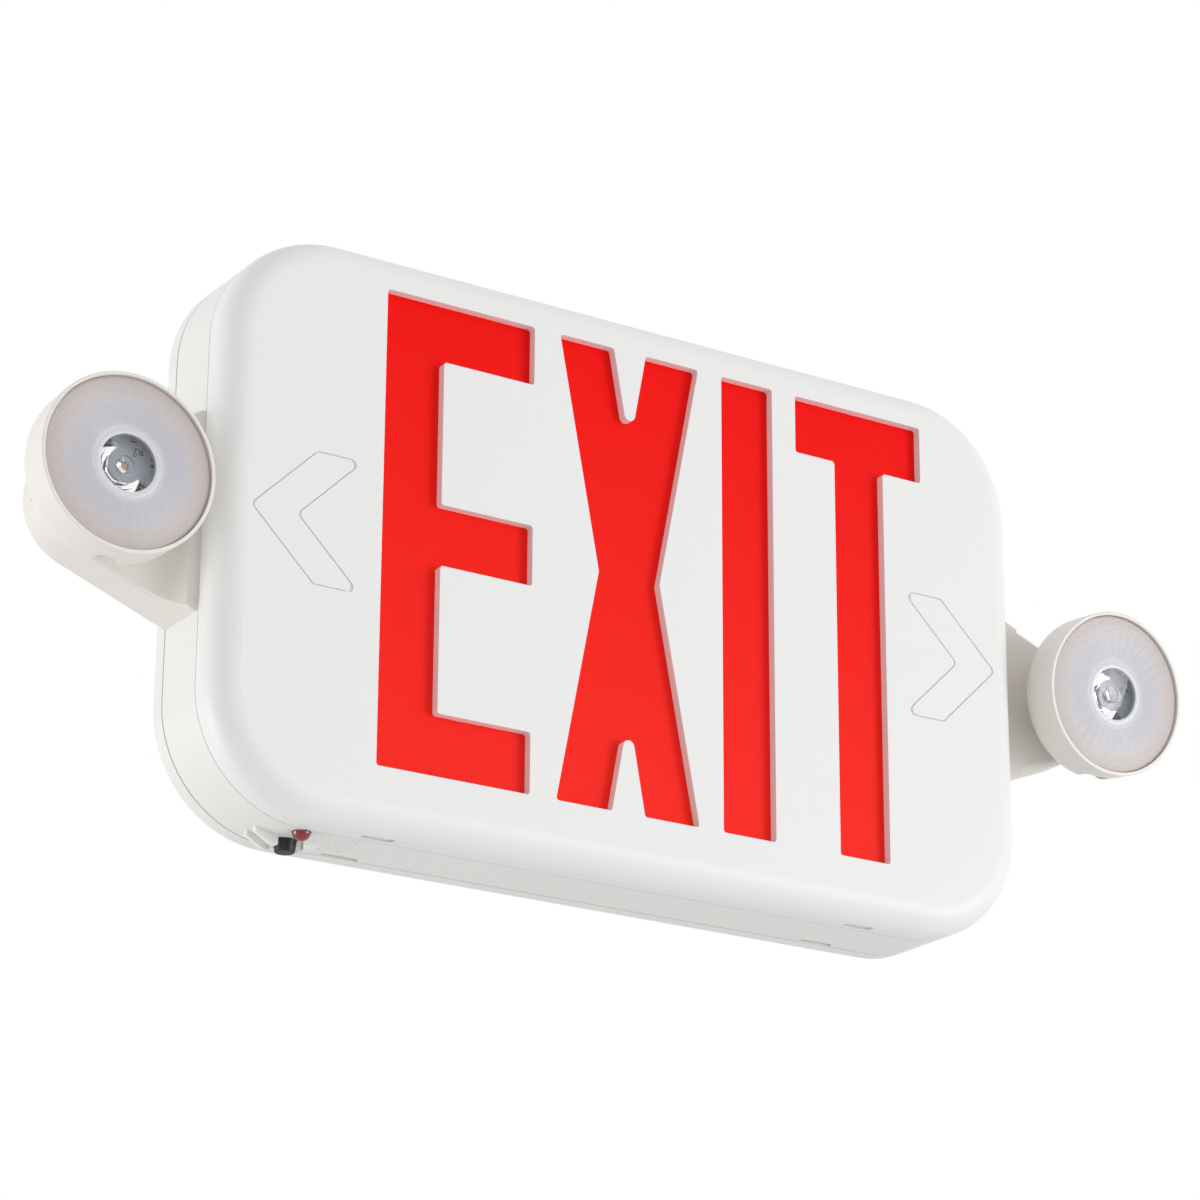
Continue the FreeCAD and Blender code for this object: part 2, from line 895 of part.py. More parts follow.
button_flange_z = bottom_inner_z + button_rest_gap
button_top_z = button_flange_z + button_flange_thickness + 1.0


def make_test_button():
    """Black push-button: a tapered cap outside, a retaining flange inside."""
    tip_z = bottom_z - button_proud
    cap = Part.makeCone(
        button_tip_radius, button_root_radius, button_proud - 0.2, Vector(service_x, button_y, tip_z), Vector(0, 0, 1)
    )
    tip = [edge for edge in cap.Edges if abs(edge.BoundBox.ZMax - tip_z) < 1e-4]
    cap = cap.makeFillet(0.5, tip)
    shaft = stud(button_root_radius, service_x, button_y, bottom_z - 0.2, button_top_z)
    flange = stud(button_flange_radius, service_x, button_y, button_flange_z, button_flange_z + button_flange_thickness)
    return together(cap, [shaft, flange])


def make_indicator():
    """Red dome lamp, pushed through the bottom wall from inside."""
    dome_z = bottom_z - indicator_proud + indicator_radius
    dome = Part.makeSphere(indicator_radius, Vector(service_x, indicator_y, dome_z))
    barrel = stud(indicator_radius, service_x, indicator_y, dome_z, service_board_z)
    flange_z = bottom_inner_z + 0.3
    flange = stud(indicator_radius + indicator_flange, service_x, indicator_y, flange_z, flange_z + 1.0)
    return together(barrel, [dome, flange])


# ---------------------------------------------------------------- arms

def arm_plan(inset):
    """Tapered arm outline with a round end, for the right-hand side."""
    slope = math.radians(arm_taper)
    half = arm_half_height - inset / math.cos(slope)
    apex = half_width + half / math.tan(slope)
    return [
        (half_width, -half, 0),
        (apex, 0, arm_end_radius - inset),
        (half_width, half, 0),
    ]


def arm_front_cut(inset):
    """What is cleared in front of the arm's pad, with the sweep up to the housing."""
    far = half_width + 90
    near = half_width + arm_shoulder + inset
    pad = arm_pad_y + inset
    front = face_y - 30
    radius = arm_blend + inset
    start = Vector(near, pad - radius, -100)
    middle_angle = math.radians(45)
    centre = Vector(near + radius, pad - radius, -100)
    middle = centre + Vector(-radius * math.cos(middle_angle), radius * math.sin(middle_angle), 0)
    end = Vector(near + radius, pad, -100)
    edges = [
        Part.LineSegment(Vector(near, front, -100), start).toShape(),
        Part.Arc(start, middle, end).toShape(),
        Part.LineSegment(end, Vector(far, pad, -100)).toShape(),
        Part.LineSegment(Vector(far, pad, -100), Vector(far, front, -100)).toShape(),
        Part.LineSegment(Vector(far, front, -100), Vector(near, front, -100)).toShape(),
    ]
    return Part.Face(Part.Wire(edges)).extrude(Vector(0, 0, 200))


def arm_form(inset, y_rear):
    return slab(arm_plan(inset), arm_front_y + inset, y_rear).cut(arm_front_cut(inset))


def make_arm():
    """Right-hand arm: a hollow moulding with a collar that plugs into the band."""
    form = arm_form(0, back_seam_y)
    front_edges = []
    for edge in form.Edges:
        box = edge.BoundBox
        on_pad = abs(box.YMin - arm_pad_y) < 1e-4 and abs(box.YMax - arm_pad_y) < 1e-4
        if on_pad and box.XMax > half_width + arm_blend + arm_shoulder + 1:
            front_edges.append(edge)
    form = form.makeFillet(arm_edge_round, front_edges)
    cavity = arm_form(arm_wall, back_seam_y + 1)
    base_wall = block(half_width - 1, half_width + arm_wall, face_y, 5, -60, 60)
    shell = form.cut(cavity.cut(base_wall))
    boss = peg(swivel_boss_radius, lamp_x, 0, arm_pad_y + 0.5, arm_pad_y + swivel_boss_depth)
    rear_y = back_seam_y - 4.0
    front_y = rear_y - arm_collar_depth
    inner_x = half_width - wall - arm_collar_length
    half = arm_collar_half_height
    collar = block(inner_x, half_width + 0.5, front_y, rear_y, -half, half)
    nibs = []
    for side in (-1, 1):
        low, high = sorted((side * (half - 0.5), side * (half + arm_nib)))
        nibs.append(block(inner_x, half_width - wall - 0.4, front_y + 2, rear_y - 2, low, high))
    shell = together(shell, [boss, collar] + nibs)
    passage = block(
        inner_x - 1, half_width + arm_wall + 1,
        front_y + arm_collar_wall, rear_y - arm_collar_wall,
        -half + arm_collar_wall, half - arm_collar_wall,
    )
    bore = peg(swivel_radius + swivel_bore_clearance, lamp_x, 0, arm_pad_y - 1, arm_pad_y + swivel_boss_depth + 1)
    end_x = lamp_x + 20
    slit = block(
        end_x - 12, end_x + 5,
        back_seam_y - 6, back_seam_y - 6 + arm_slit_width, -arm_slit_length / 2, arm_slit_length / 2,
    )
    return shell.cut([passage, bore, slit])


def make_arm_cover():
    """Plate that closes the arm's open rear."""
    inset = arm_wall + arm_fit
    plate = slab(arm_plan(inset), back_seam_y - arm_cover_thickness, back_seam_y)
    base = block(half_width - 1, half_width + inset, face_y, 5, -60, 60)
    return plate.cut(base)


# ---------------------------------------------------------------- lamp heads
# Each head is modelled on the Y axis and then tilted about its pivot and moved to its arm.

def place_lamp(shape, side, tilt):
    """Tilt a piece of a lamp head downwards about its pivot, then move it to its side."""
    placed = shape.copy()
    placed.rotate(Vector(0, pivot_y, 0), Vector(1, 0, 0), tilt)
    placed.translate(Vector(side * lamp_x, 0, 0))
    return placed


def place_swivel(shape, side):
    placed = shape.copy()
    placed.translate(Vector(side * lamp_x, 0, 0))
    return placed


def make_swivel_neck():
    """Hollow stem through the arm, a flange on its pad and a flat knuckle at the front."""
    flange_rear = arm_pad_y - swivel_gap
    flange_front = flange_rear - swivel_flange_thickness
    clip_y = arm_pad_y + swivel_boss_depth + swivel_gap
    stem_end = clip_y + clip_thickness + 1.2
    stem = peg(swivel_radius, 0, 0, flange_rear - 0.5, stem_end)
    flange = peg(swivel_flange_radius, 0, 0, flange_front, flange_rear)
    flange = flange.makeFillet(0.6, rim_edges(flange, swivel_flange_radius, flange_front))
    half_width_neck = neck_width / 2
    half_thickness = neck_thickness / 2
    shank = block(-half_width_neck, half_width_neck, pivot_y, flange_rear - 0.5, -half_thickness, half_thickness)
    knuckle = Part.makeCylinder(
        half_thickness, neck_width, Vector(-half_width_neck, pivot_y, 0), Vector(1, 0, 0)
    )
    neck = together(stem, [flange, shank, knuckle])
    groove = peg(swivel_radius + 1, 0, 0, clip_y, clip_y + clip_thickness)
    groove = groove.cut(peg(swivel_radius - clip_groove, 0, 0, clip_y - 1, clip_y + clip_thickness + 1))
    pin_bore = Part.makeCylinder(
        pin_radius + pin_clearance, neck_width + 2, Vector(-half_width_neck - 1, pivot_y, 0), Vector(1, 0, 0)
    )
    wire_bore = peg(swivel_wire_bore, 0, 0, flange_front - 4, stem_end + 1)
    return neck.cut([groove, pin_bore, wire_bore])


def make_swivel_clip():
    """Spring clip in the stem's groove, open on one side."""
    clip_y = arm_pad_y + swivel_boss_depth + swivel_gap
    clip = peg(clip_radius, 0, 0, clip_y, clip_y + clip_thickness)
    hole = peg(swivel_radius - clip_groove + 0.02, 0, 0, clip_y - 1, clip_y + clip_thickness + 1)
    gap = block(-3.2, 3.2, clip_y - 1, clip_y + clip_thickness + 1, -clip_radius - 1, 0)
    return clip.cut([hole, gap])


def lamp_post_places():
    step = 2 * math.pi / lamp_post_count
    return [
        (lamp_post_circle * math.sin(index * step), lamp_post_circle * math.cos(index * step))
        for index in range(lamp_post_count)
    ]


def make_lamp_cup():
    inner_radius = cup_radius - cup_wall
    seat_radius = inner_radius - 0.9
    rear_inner = cup_rear_y - cup_wall
    outer = turned([(0, rim_y), (cup_radius, rim_y), (cup_radius - cup_draft, cup_rear_y), (0, cup_rear_y)])
    outer = outer.makeFillet(cup_rear_round, rim_edges(outer, cup_radius - cup_draft, cup_rear_y))
    outer = outer.makeFillet(cup_rim_round, rim_edges(outer, cup_radius, rim_y))
    cavity = turned([
        (0, lens_seat_y), (seat_radius, lens_seat_y), (seat_radius - cup_draft, rear_inner), (0, rear_inner),
    ])
    cavity = cavity.makeFillet(cup_rear_round - cup_wall, rim_edges(cavity, seat_radius - cup_draft, rear_inner))
    mouth = peg(cup_radius - cup_rim_width, 0, 0, rim_y - 1, lens_seat_y)
    slot = block(
        -slot_half, slot_half, rim_y + slot_forward_depth, cup_rear_y + 1, -cup_radius - 2, slot_top
    )
    slot_front = rim_y + slot_forward_depth
    ends = []
    for edge in slot.Edges:
        box = edge.BoundBox
        across = box.ZLength > 1e-3 and abs(box.YMax - slot_front) < 1e-4
        if across:
            ends.append(edge)
    slot = slot.makeFillet(slot_round, ends)
    shell = outer.cut([cavity, mouth, slot])
    ears = []
    for side in (-1, 1):
        inner_x = slot_half
        outer_x = slot_half + ear_thickness
        low, high = sorted((side * inner_x, side * outer_x))
        reach = neck_thickness / 2 + 0.6
        ears.append(block(low, high, pivot_y, rear_inner + 0.5, -reach, reach))
        ears.append(Part.makeCylinder(reach, ear_thickness, Vector(low, pivot_y, 0), Vector(1, 0, 0)))
    posts = []
    for x, z in lamp_post_places():
        posts.append(peg(lamp_post_radius, x, z, lamp_board_y + board_thickness, rear_inner + 0.5))
    shell = together(shell, ears + posts)
    bores = [Part.makeCylinder(
        pin_radius + 0.01, 2 * (slot_half + ear_thickness) + 2,
        Vector(-slot_half - ear_thickness - 1, pivot_y, 0), Vector(1, 0, 0),
    )]
    for x, z in lamp_post_places():
        bores.append(peg(screw_radius, x, z, lamp_board_y, lamp_board_y + board_thickness + lamp_screw_length))
    return shell.cut(bores)


def make_lamp_lens():
    """Clear disc with a thick centre that reaches down over the emitter."""
    radius = cup_radius - cup_rim_width - lens_clearance
    rear = lens_seat_y
    tip = rear + lens_boss_depth
    pocket = tip - lens_pocket_depth
    return turned([
        (0, lens_front_y),
        (radius, lens_front_y),
        (radius, rear),
        (lens_window_radius, rear),
        (lens_boss_tip_radius, tip),
        (lens_pocket_radius, tip),
        (lens_pocket_radius, pocket),
        (0, pocket),
    ])


def make_lamp_board():
    board = peg(lamp_board_radius, 0, 0, lamp_board_y, lamp_board_y + board_thickness)
    holes = []
    for x, z in lamp_post_places():
        holes.append(peg(screw_radius + screw_hole_clearance, x, z, lamp_board_y - 1, lamp_board_y + board_thickness + 1))
    return board.cut(holes)


def make_lamp_emitter():
    half = emitter_size / 2
    base = block(-half, half, lamp_board_y - emitter_base, lamp_board_y, -half, half)
    dome = Part.makeSphere(emitter_dome_radius, Vector(0, lamp_board_y - emitter_base, 0))
    behind = block(-half, half, lamp_board_y - emitter_base, lamp_board_y + 3, -half, half)
    return together(base, [dome.cut(behind)])


def make_lamp_screws():
    screws = []
    for x, z in lamp_post_places():
        screws.append(pan_screw(x, z, lamp_board_y, board_thickness + lamp_screw_length - 0.5))
    return Part.makeCompound(screws)


def make_tilt_pin():
    half = slot_half + ear_thickness
    return Part.makeCylinder(pin_radius, 2 * half, Vector(-half, pivot_y, 0), Vector(1, 0, 0))


# ---------------------------------------------------------------- build and write

def build():
    arm = make_arm()
    arm_cover = make_arm_cover()
    nodes = {
        "front_cover": make_front_cover(),
        "legend_panel": make_legend_panel(),
        "mid_housing": make_mid_housing(),
        "back_plate": make_back_plate(),
        "light_strip_upper": make_light_strip(strip_z),
        "light_strip_lower": make_light_strip(-strip_z),
        "legend_leds": make_legend_leds(),
        "strip_screws": make_strip_screws(),
        "control_board": make_control_board(),
        "control_screws": make_control_screws(),
        "transformer": make_transformer(),
        "terminal_block": make_terminal_block(),
        "battery_pack": make_battery_pack(),
        "battery_strap": make_battery_strap(),
        "strap_screws": make_strap_screws(),
        "service_board": make_service_board(),
        "test_switch": make_test_switch(),
        "switch_plunger": make_switch_plunger(),
        "test_button": make_test_button(),
        "ac_indicator": make_indicator(),
        "arm_right": arm,
        "arm_left": mirror_x(arm),
        "arm_cover_right": arm_cover,
        "arm_cover_left": mirror_x(arm_cover),
    }
    neck = make_swivel_neck()
    clip = make_swivel_clip()
    head = {
        "lamp_cup": make_lamp_cup(),
        "lamp_lens": make_lamp_lens(),
        "lamp_board": make_lamp_board(),
        "lamp_emitter": make_lamp_emitter(),
        "lamp_screws": make_lamp_screws(),
        "tilt_pin": make_tilt_pin(),
    }
    for name, side, tilt in (("left", -1, left_rest_tilt), ("right", 1, right_rest_tilt)):
        nodes["swivel_neck_" + name] = place_swivel(neck, side)
        nodes["swivel_clip_" + name] = place_swivel(clip, side)
        for piece, shape in head.items():
            nodes[piece + "_" + name] = place_lamp(shape, side, tilt)
    return nodes


os.makedirs("parts", exist_ok=True)
for node, shape in build().items():
    shape.exportStep("parts/" + node + ".step")
    print(node, "solids", len(shape.Solids), "volume %.1f" % shape.Volume, "valid", shape.isValid())
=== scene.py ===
# %% [markdown]
# # An emergency exit light
#
# The sign is a flat white box with the word EXIT cut through its face and a red panel behind it.
# Two small lamp heads stand on arms at its sides. This lesson starts from the finished solid
# model, gives each moulded part its plastic, and adds what is too fine for the solid model: the
# ribbed lenses, the parts on the little lamp boards and the raised words beside the test button.

# %% Load the solid model
import json
import math

import bpy
import bmesh
from mathutils import Matrix, Vector


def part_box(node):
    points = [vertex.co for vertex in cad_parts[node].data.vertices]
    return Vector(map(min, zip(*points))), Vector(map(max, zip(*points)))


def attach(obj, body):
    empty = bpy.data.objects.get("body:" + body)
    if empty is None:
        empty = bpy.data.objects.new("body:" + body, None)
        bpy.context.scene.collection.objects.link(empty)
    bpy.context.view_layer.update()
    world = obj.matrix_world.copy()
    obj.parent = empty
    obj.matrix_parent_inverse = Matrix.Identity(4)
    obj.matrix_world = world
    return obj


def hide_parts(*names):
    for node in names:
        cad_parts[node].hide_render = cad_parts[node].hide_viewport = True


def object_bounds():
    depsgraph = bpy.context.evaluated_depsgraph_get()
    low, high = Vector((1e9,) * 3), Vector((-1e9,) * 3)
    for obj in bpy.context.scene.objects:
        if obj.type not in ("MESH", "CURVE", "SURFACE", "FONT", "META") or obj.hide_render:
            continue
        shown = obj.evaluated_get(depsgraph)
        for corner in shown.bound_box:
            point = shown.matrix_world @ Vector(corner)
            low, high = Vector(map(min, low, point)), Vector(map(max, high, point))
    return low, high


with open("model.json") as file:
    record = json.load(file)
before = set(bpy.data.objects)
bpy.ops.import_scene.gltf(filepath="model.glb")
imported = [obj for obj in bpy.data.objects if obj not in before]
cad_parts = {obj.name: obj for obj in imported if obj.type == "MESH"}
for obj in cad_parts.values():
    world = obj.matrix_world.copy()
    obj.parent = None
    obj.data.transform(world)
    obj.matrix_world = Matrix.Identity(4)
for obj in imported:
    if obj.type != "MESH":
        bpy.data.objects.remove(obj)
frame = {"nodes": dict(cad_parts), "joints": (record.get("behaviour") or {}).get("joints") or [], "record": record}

cad_low, cad_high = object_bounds()
nodes = frame["nodes"]
record = frame["record"]
mm = 0.001
print("solid nodes:", len(nodes))

# %% [markdown]
# ## Shader sums
#
# A material's node tree is easier to read as a sum than as a web of boxes. The class below wraps
# one output socket. Adding or multiplying two of them adds the Math node that does it, and `node`
# adds any other kind of node. Every finish in this lesson is written with it.

# %% A wrapper for shader sockets
class Wire:
    """One output socket of a node tree, used like a number."""

    def __init__(self, tree, socket=None):
        self.tree = tree
        self.socket = socket

    def node(self, kind, settings=None, inputs=None, output=0):
        """Add a node: first its settings, then the values or links of its sockets."""
        made = self.tree.nodes.new(kind)
        for name, value in (settings or {}).items():
            if name == "stops":
                set_stops(made.color_ramp, value)
            else:
                setattr(made, name, value)
        for name, value in (inputs or {}).items():
            if isinstance(value, Wire):
                self.tree.links.new(value.socket, made.inputs[name])
            else:
                made.inputs[name].default_value = value
        return Wire(self.tree, made.outputs[output])

    def sum(self, operation, first, second):
        return self.node("ShaderNodeMath", {"operation": operation}, {0: first, 1: second})

    def __add__(self, other):
        return self.sum("ADD", self, other)

    __radd__ = __add__

    def __sub__(self, other):
        return self.sum("SUBTRACT", self, other)

    def __rsub__(self, other):
        return self.sum("SUBTRACT", other, self)

    def __mul__(self, other):
        return self.sum("MULTIPLY", self, other)

    __rmul__ = __mul__

    def __truediv__(self, other):
        return self.sum("DIVIDE", self, other)

    def __rtruediv__(self, other):
        return self.sum("DIVIDE", other, self)

    def power(self, exponent):
        return self.sum("POWER", self, exponent)

    def wave(self):
        return self.node("ShaderNodeMath", {"operation": "SINE"}, {0: self})

    def cosine(self):
        return self.node("ShaderNodeMath", {"operation": "COSINE"}, {0: self})

    def larger(self, other):
        return self.sum("MAXIMUM", self, other)

    def blend(self, low, high):
        """A colour between two, by this value from 0 to 1."""
        return self.node(
            "ShaderNodeMix", {"data_type": "RGBA"}, {0: self, 6: (*low, 1), 7: (*high, 1)}, 2
        )


print("sockets can be added, multiplied and blended")

# %% [markdown]
# ## Colours and materials
#
# Every finish starts in the same way: a material with one Principled shader, whose constants go
# straight on its sockets. Only what varies over a surface gets a link. Colours are written as a
# paint chart gives them, in steps of 255, and turned into the linear light values that Blender
# works in. The alternative, a colour typed as linear values, is hard to compare with anything in
# the hand.

# %% Ramps, colours and new materials
def set_stops(ramp, stops):
    """Colour stops as (position, colour) pairs."""
    while len(ramp.elements) < len(stops):
        ramp.elements.new(0.5)
    for element, (position, colour) in zip(ramp.elements, stops):
        element.position = position
        element.color = (*colour, 1)


def linear(red, green, blue):
    """A colour as read off a paint chart, in steps of 255, turned into light values."""
    steps = (red / 255, green / 255, blue / 255)
    return tuple(c / 12.92 if c <= 0.04045 else ((c + 0.055) / 1.055) ** 2.4 for c in steps)


def new_finish(name, **constants):
    """A material with one Principled shader. Returns it, its shader and a Wire to build with."""
    material = bpy.data.materials.new(name)
    material.use_nodes = True
    tree = material.node_tree
    shader = tree.nodes["Principled BSDF"]
    for socket, value in constants.items():
        shader.inputs[socket.replace("_", " ")].default_value = value
    return material, shader, Wire(tree)


def feed(shader, socket, wire):
    wire.tree.links.new(wire.socket, shader.inputs[socket])


print("mid grey of 128 is the light value", round(linear(128, 128, 128)[0], 4))

# %% [markdown]
# ## Moulded white plastic
#
# The housing, its band, the arms and the lamp cups are all flame-retardant white plastic, each
# from its own mould and batch, so their whites differ a little. The mould's surface is spark-
# eroded: it leaves a fine, even grain that softens the shine. A small noise drives the bump, and
# a broad, soft one shifts the colour and the roughness a little. A flat picture of a grain would
# have to be wrapped round every shape, while noise on object coordinates fits any of them.

# %% White plastics
cloud_scale = 9.0
cloud_tint = 0.985
cloud_roughness = 0.06
bump_strength = 0.25


def grain(wire, scale):
    place = wire.node("ShaderNodeTexCoord", output="Object")
    return wire.node("ShaderNodeTexNoise", {}, {
        "Vector": place, "Scale": scale, "Detail": 2.0,
    }, "Fac")


def moulded(name, colour, roughness, grain_height=0.00002, grain_scale=2200.0):
    material, shader, wire = new_finish(name, IOR=1.5)
    speckle = grain(wire, grain_scale)
    cloud = grain(wire, cloud_scale)
    feed(shader, "Base Color", cloud.blend(tuple(c * cloud_tint for c in colour), colour))
    feed(shader, "Roughness", roughness + (cloud - 0.5) * cloud_roughness)
    feed(shader, "Normal", wire.node("ShaderNodeBump", {}, {
        "Height": speckle, "Strength": bump_strength, "Distance": grain_height,
    }))
    return material


cover_white = moulded("cover_white", linear(240, 240, 239), 0.42)
housing_white = moulded("housing_white", linear(237, 237, 234), 0.45)
arm_white = moulded("arm_white", linear(236, 231, 225), 0.45)
lamp_white = moulded("lamp_white", linear(238, 234, 228), 0.40)
button_black = moulded("button_black", linear(14, 13, 13), 0.45)
print("moulded finishes:", len(bpy.data.materials))

# %% [markdown]
# ## The red panel
#
# The panel is a sheet of red acrylic with a satin face, so it shows hardly any highlight. Its
# colour is painted deepest at the top and a little lighter and warmer low down: painted light, for
# the light from the floor that gets into the lower part. One flat red would look printed. A blend
# of two reds over the sign's height is the simplest sum that paints this, and a fine bump keeps the
# face satin when the sign is seen from close by.

# %% Red panel
panel_grain_scale = 1500.0
panel_grain_height = 0.00002


def make_panel_red_with_painted_floor_light():
    material, shader, wire = new_finish(
        "legend_red", Roughness=0.42, IOR=1.49, Specular_IOR_Level=0.1
    )
    place = wire.node("ShaderNodeTexCoord", output="Object")
    height = wire.node("ShaderNodeSeparateXYZ", inputs={"Vector": place}, output="Z")
    rise = height / (cad_high.z - cad_low.z) + 0.5
    # Painted floor light: the lighter, warmer red low down stands in for light from the floor; the deep red at the
    # top is the panel's own colour.
    feed(shader, "Base Color", rise.blend(linear(255, 44, 34), linear(246, 6, 4)))
    speckle = grain(wire, panel_grain_scale)
    feed(shader, "Normal", wire.node("ShaderNodeBump", {}, {
        "Height": speckle, "Strength": 0.2, "Distance": panel_grain_height,
    }))
    return material


legend_red = make_panel_red_with_painted_floor_light()
print("made", legend_red.name)

# %% [markdown]
# ## Hardware and boards
#
# Steel screws, clips and straps are plated. Circuit boards have a coat of solder resist, which is
# a thin gloss over the colour. These are seen only through the lamp windows or when the housing
# is open, but each gets its own finish. Both kinds drift a little in colour and roughness, so one
# helper makes them, and `plated` and `coated` only say by how much.

# %% Metals, boards and small parts
def clouded(name, colour, roughness, scale, darkest, swing, **constants):
    """A finish whose colour and roughness drift with one soft noise."""
    material, shader, wire = new_finish(name, **constants)
    cloud = grain(wire, scale)
    feed(shader, "Base Color", cloud.blend(tuple(c * darkest for c in colour), colour))
    feed(shader, "Roughness", roughness + (cloud - 0.5) * swing)
    return material


def plated(name, colour, roughness):
    return clouded(name, colour, roughness, scale=400.0, darkest=0.9, swing=0.1, Metallic=1.0)


def coated(name, colour, roughness):
    return clouded(
        name, colour, roughness, scale=160.0, darkest=0.92, swing=0.08,
        Coat_Weight=0.4, Coat_Roughness=0.1,
    )


finishes = {
    "cover_white": cover_white,
    "housing_white": housing_white,
    "arm_white": arm_white,
    "lamp_white": lamp_white,
    "button_black": button_black,
    "legend_red": legend_red,
    "screw_steel": plated("screw_steel", (0.62, 0.62, 0.62), 0.3),
    "clip_steel": plated("clip_steel", (0.6, 0.6, 0.61), 0.28),
    "strap_steel": plated("strap_steel", (0.58, 0.58, 0.58), 0.35),
    "transformer_iron": plated("transformer_iron", (0.2, 0.2, 0.21), 0.5),
    "board_white": coated("board_white", linear(225, 226, 222), 0.35),
    "board_green": coated("board_green", linear(22, 92, 48), 0.35),
    "terminal_green": moulded("terminal_green", linear(40, 130, 70), 0.4),
    "battery_sleeve": coated("battery_sleeve", linear(40, 84, 150), 0.3),
    "switch_black": moulded("switch_black", linear(30, 30, 31), 0.4),
    "led_red": coated("led_red", linear(215, 120, 95), 0.25),
    "lamp_board": coated("lamp_board", linear(204, 211, 224), 0.35),
    "emitter_yellow": coated("emitter_yellow", linear(238, 222, 150), 0.3),
}
print("finishes:", len(finishes))

# %% [markdown]
# ## The indicator
#
# The AC indicator is a small domed lamp moulded in clear deep-red plastic, smooth enough to
# mirror the room. It could be a glass shader with a light inside, but an unlit lamp of this size
# shows only a dark red with a sharp highlight. A coated red gives that, and it is painted darker
# upwards, into the housing: painted shade where the dome goes into the housing.

# %% Indicator red
dome_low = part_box("ac_indicator")[0].z
dome_shade_height = 3 * mm
indicator_red, shader, wire = new_finish(
    "indicator_red", Roughness=0.06, IOR=1.5, Coat_Weight=1.0, Coat_Roughness=0.03
)
position = wire.node("ShaderNodeTexCoord", output="Object")
height = wire.node("ShaderNodeSeparateXYZ", inputs={"Vector": position}, output="Z")
# Painted shade: the red turns darker over 3 mm upwards, where the dome goes into the housing.
painted_shade_rise = (height - dome_low) / dome_shade_height
feed(shader, "Base Color", painted_shade_rise.blend(linear(150, 4, 12), linear(96, 1, 6)))
finishes["indicator_red"] = indicator_red
print("the indicator starts at height", round(dome_low, 5))

# %% [markdown]
# ## Dressing the solid model
#
# The record says which kind of material each moulded part has, as the name of a slot. A finish of
# the same name goes on the part, and a part whose slot has no finish here keeps what it came
# with. Going by slot and not by part means that two parts from one mould can't end up different.

# %% Dress the solid nodes
slot_of = {part["node"]: part["material_slot"] for part in record["subparts"]}
for name, solid in nodes.items():
    finish = finishes.get(slot_of[name])
    if finish is not None:
        for slot in solid.material_slots:
            slot.material = finish
print("dressed:", sum(slot_of[name] in finishes for name in nodes), "of", len(nodes))

# %% [markdown]
# ## Where the lamp heads are
#
# Everything in a lamp head is turned about one axis, so it is easiest to make it once, upright
# and centred on the Y axis, and then to move it into place. The left head looks straight ahead.
# The right head is tipped down about its cross pin by the angle that its tilt joint can still go
# back.

# %% Places of the two heads
joints = {joint["name"]: joint for joint in frame["joints"]}


def head_place(side):
    """The matrix that moves a centred piece into the lamp head of that side."""
    joint = joints["lamp_" + side + "_tilt"]
    pivot = Vector(joint["pos_m"])
    tipped = math.radians(-joint["range_deg"][0])
    about_pin = Matrix.Translation(pivot) @ Matrix.Rotation(tipped, 4, "X")
    return about_pin @ Matrix.Translation((0, -pivot.y, 0))


places = {side: head_place(side) for side in ("left", "right")}
lens_low, lens_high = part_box("lamp_lens_left")
lens_radius = (lens_high.x - lens_low.x) / 2
lens_front = lens_low.y
board_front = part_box("lamp_board_left")[0].y
print("lens radius", round(lens_radius, 5), "lens front", round(lens_front, 5))
print("board front", round(board_front, 5))

# %% [markdown]
# ## Turned shapes, and pieces in their place
#
# A lens and a dome are round, so a few points of their profile say everything about them. `spin`
# turns such a profile about the Y axis and closes the pole with one point. Blender's own Spin
# tool would do the same, but it leaves doubled points at the pole and at the seam. `settle` then
# finishes any piece in the same way: it welds the points, turns the faces outwards, moves the
# mesh and not the object, and lets the piece ride on the body that carries it.

# %% Settle a piece
weld_distance = 0.000002


def settle(mesh, name, body, place, smooth_angle=35):
    """Put a centred mesh in its place, with its faces outwards, and let it ride on its body."""
    form = bmesh.new()
    form.from_mesh(mesh)
    bmesh.ops.remove_doubles(form, verts=form.verts, dist=weld_distance)
    bmesh.ops.recalc_face_normals(form, faces=form.faces)
    form.to_mesh(mesh)
    form.free()
    mesh.transform(place)
    mesh.shade_smooth()
    mesh.set_sharp_from_angle(angle=math.radians(smooth_angle))
    piece = bpy.data.objects.new(name, mesh)
    bpy.context.scene.collection.objects.link(piece)
    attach(piece, body)
    return piece


print("points closer than", weld_distance, "m are welded")

# %% Turn a profile
def turned_ring(form, radius, depth, sides):
    """The points of one ring about the Y axis, or the one point of a pole."""
    if radius == 0:
        return [form.verts.new((0, depth, 0))]
    turns = (2 * math.pi * step / sides for step in range(sides))
    return [form.verts.new((radius * math.cos(a), depth, radius * math.sin(a))) for a in turns]


def spin(form, profile, sides, finish=0):
    """Turn a profile of (radius, depth) points about the Y axis. A radius of 0 closes the pole."""
    rings = [turned_ring(form, radius, depth, sides) for radius, depth in profile]
    for near, far in zip(rings, rings[1:]):
        for step in range(sides):
            after = (step + 1) % sides
            corners = [
                near[step % len(near)], near[after % len(near)],
                far[after % len(far)], far[step % len(far)],
            ]
            unique = list(dict.fromkeys(corners))
            if len(unique) > 2:
                form.faces.new(unique).material_index = finish


trial = bmesh.new()
spin(trial, [(1.0, 0.0), (0.0, 1.0)], 8)
print("a cone of 8 sides has", len(trial.faces), "faces")
trial.free()
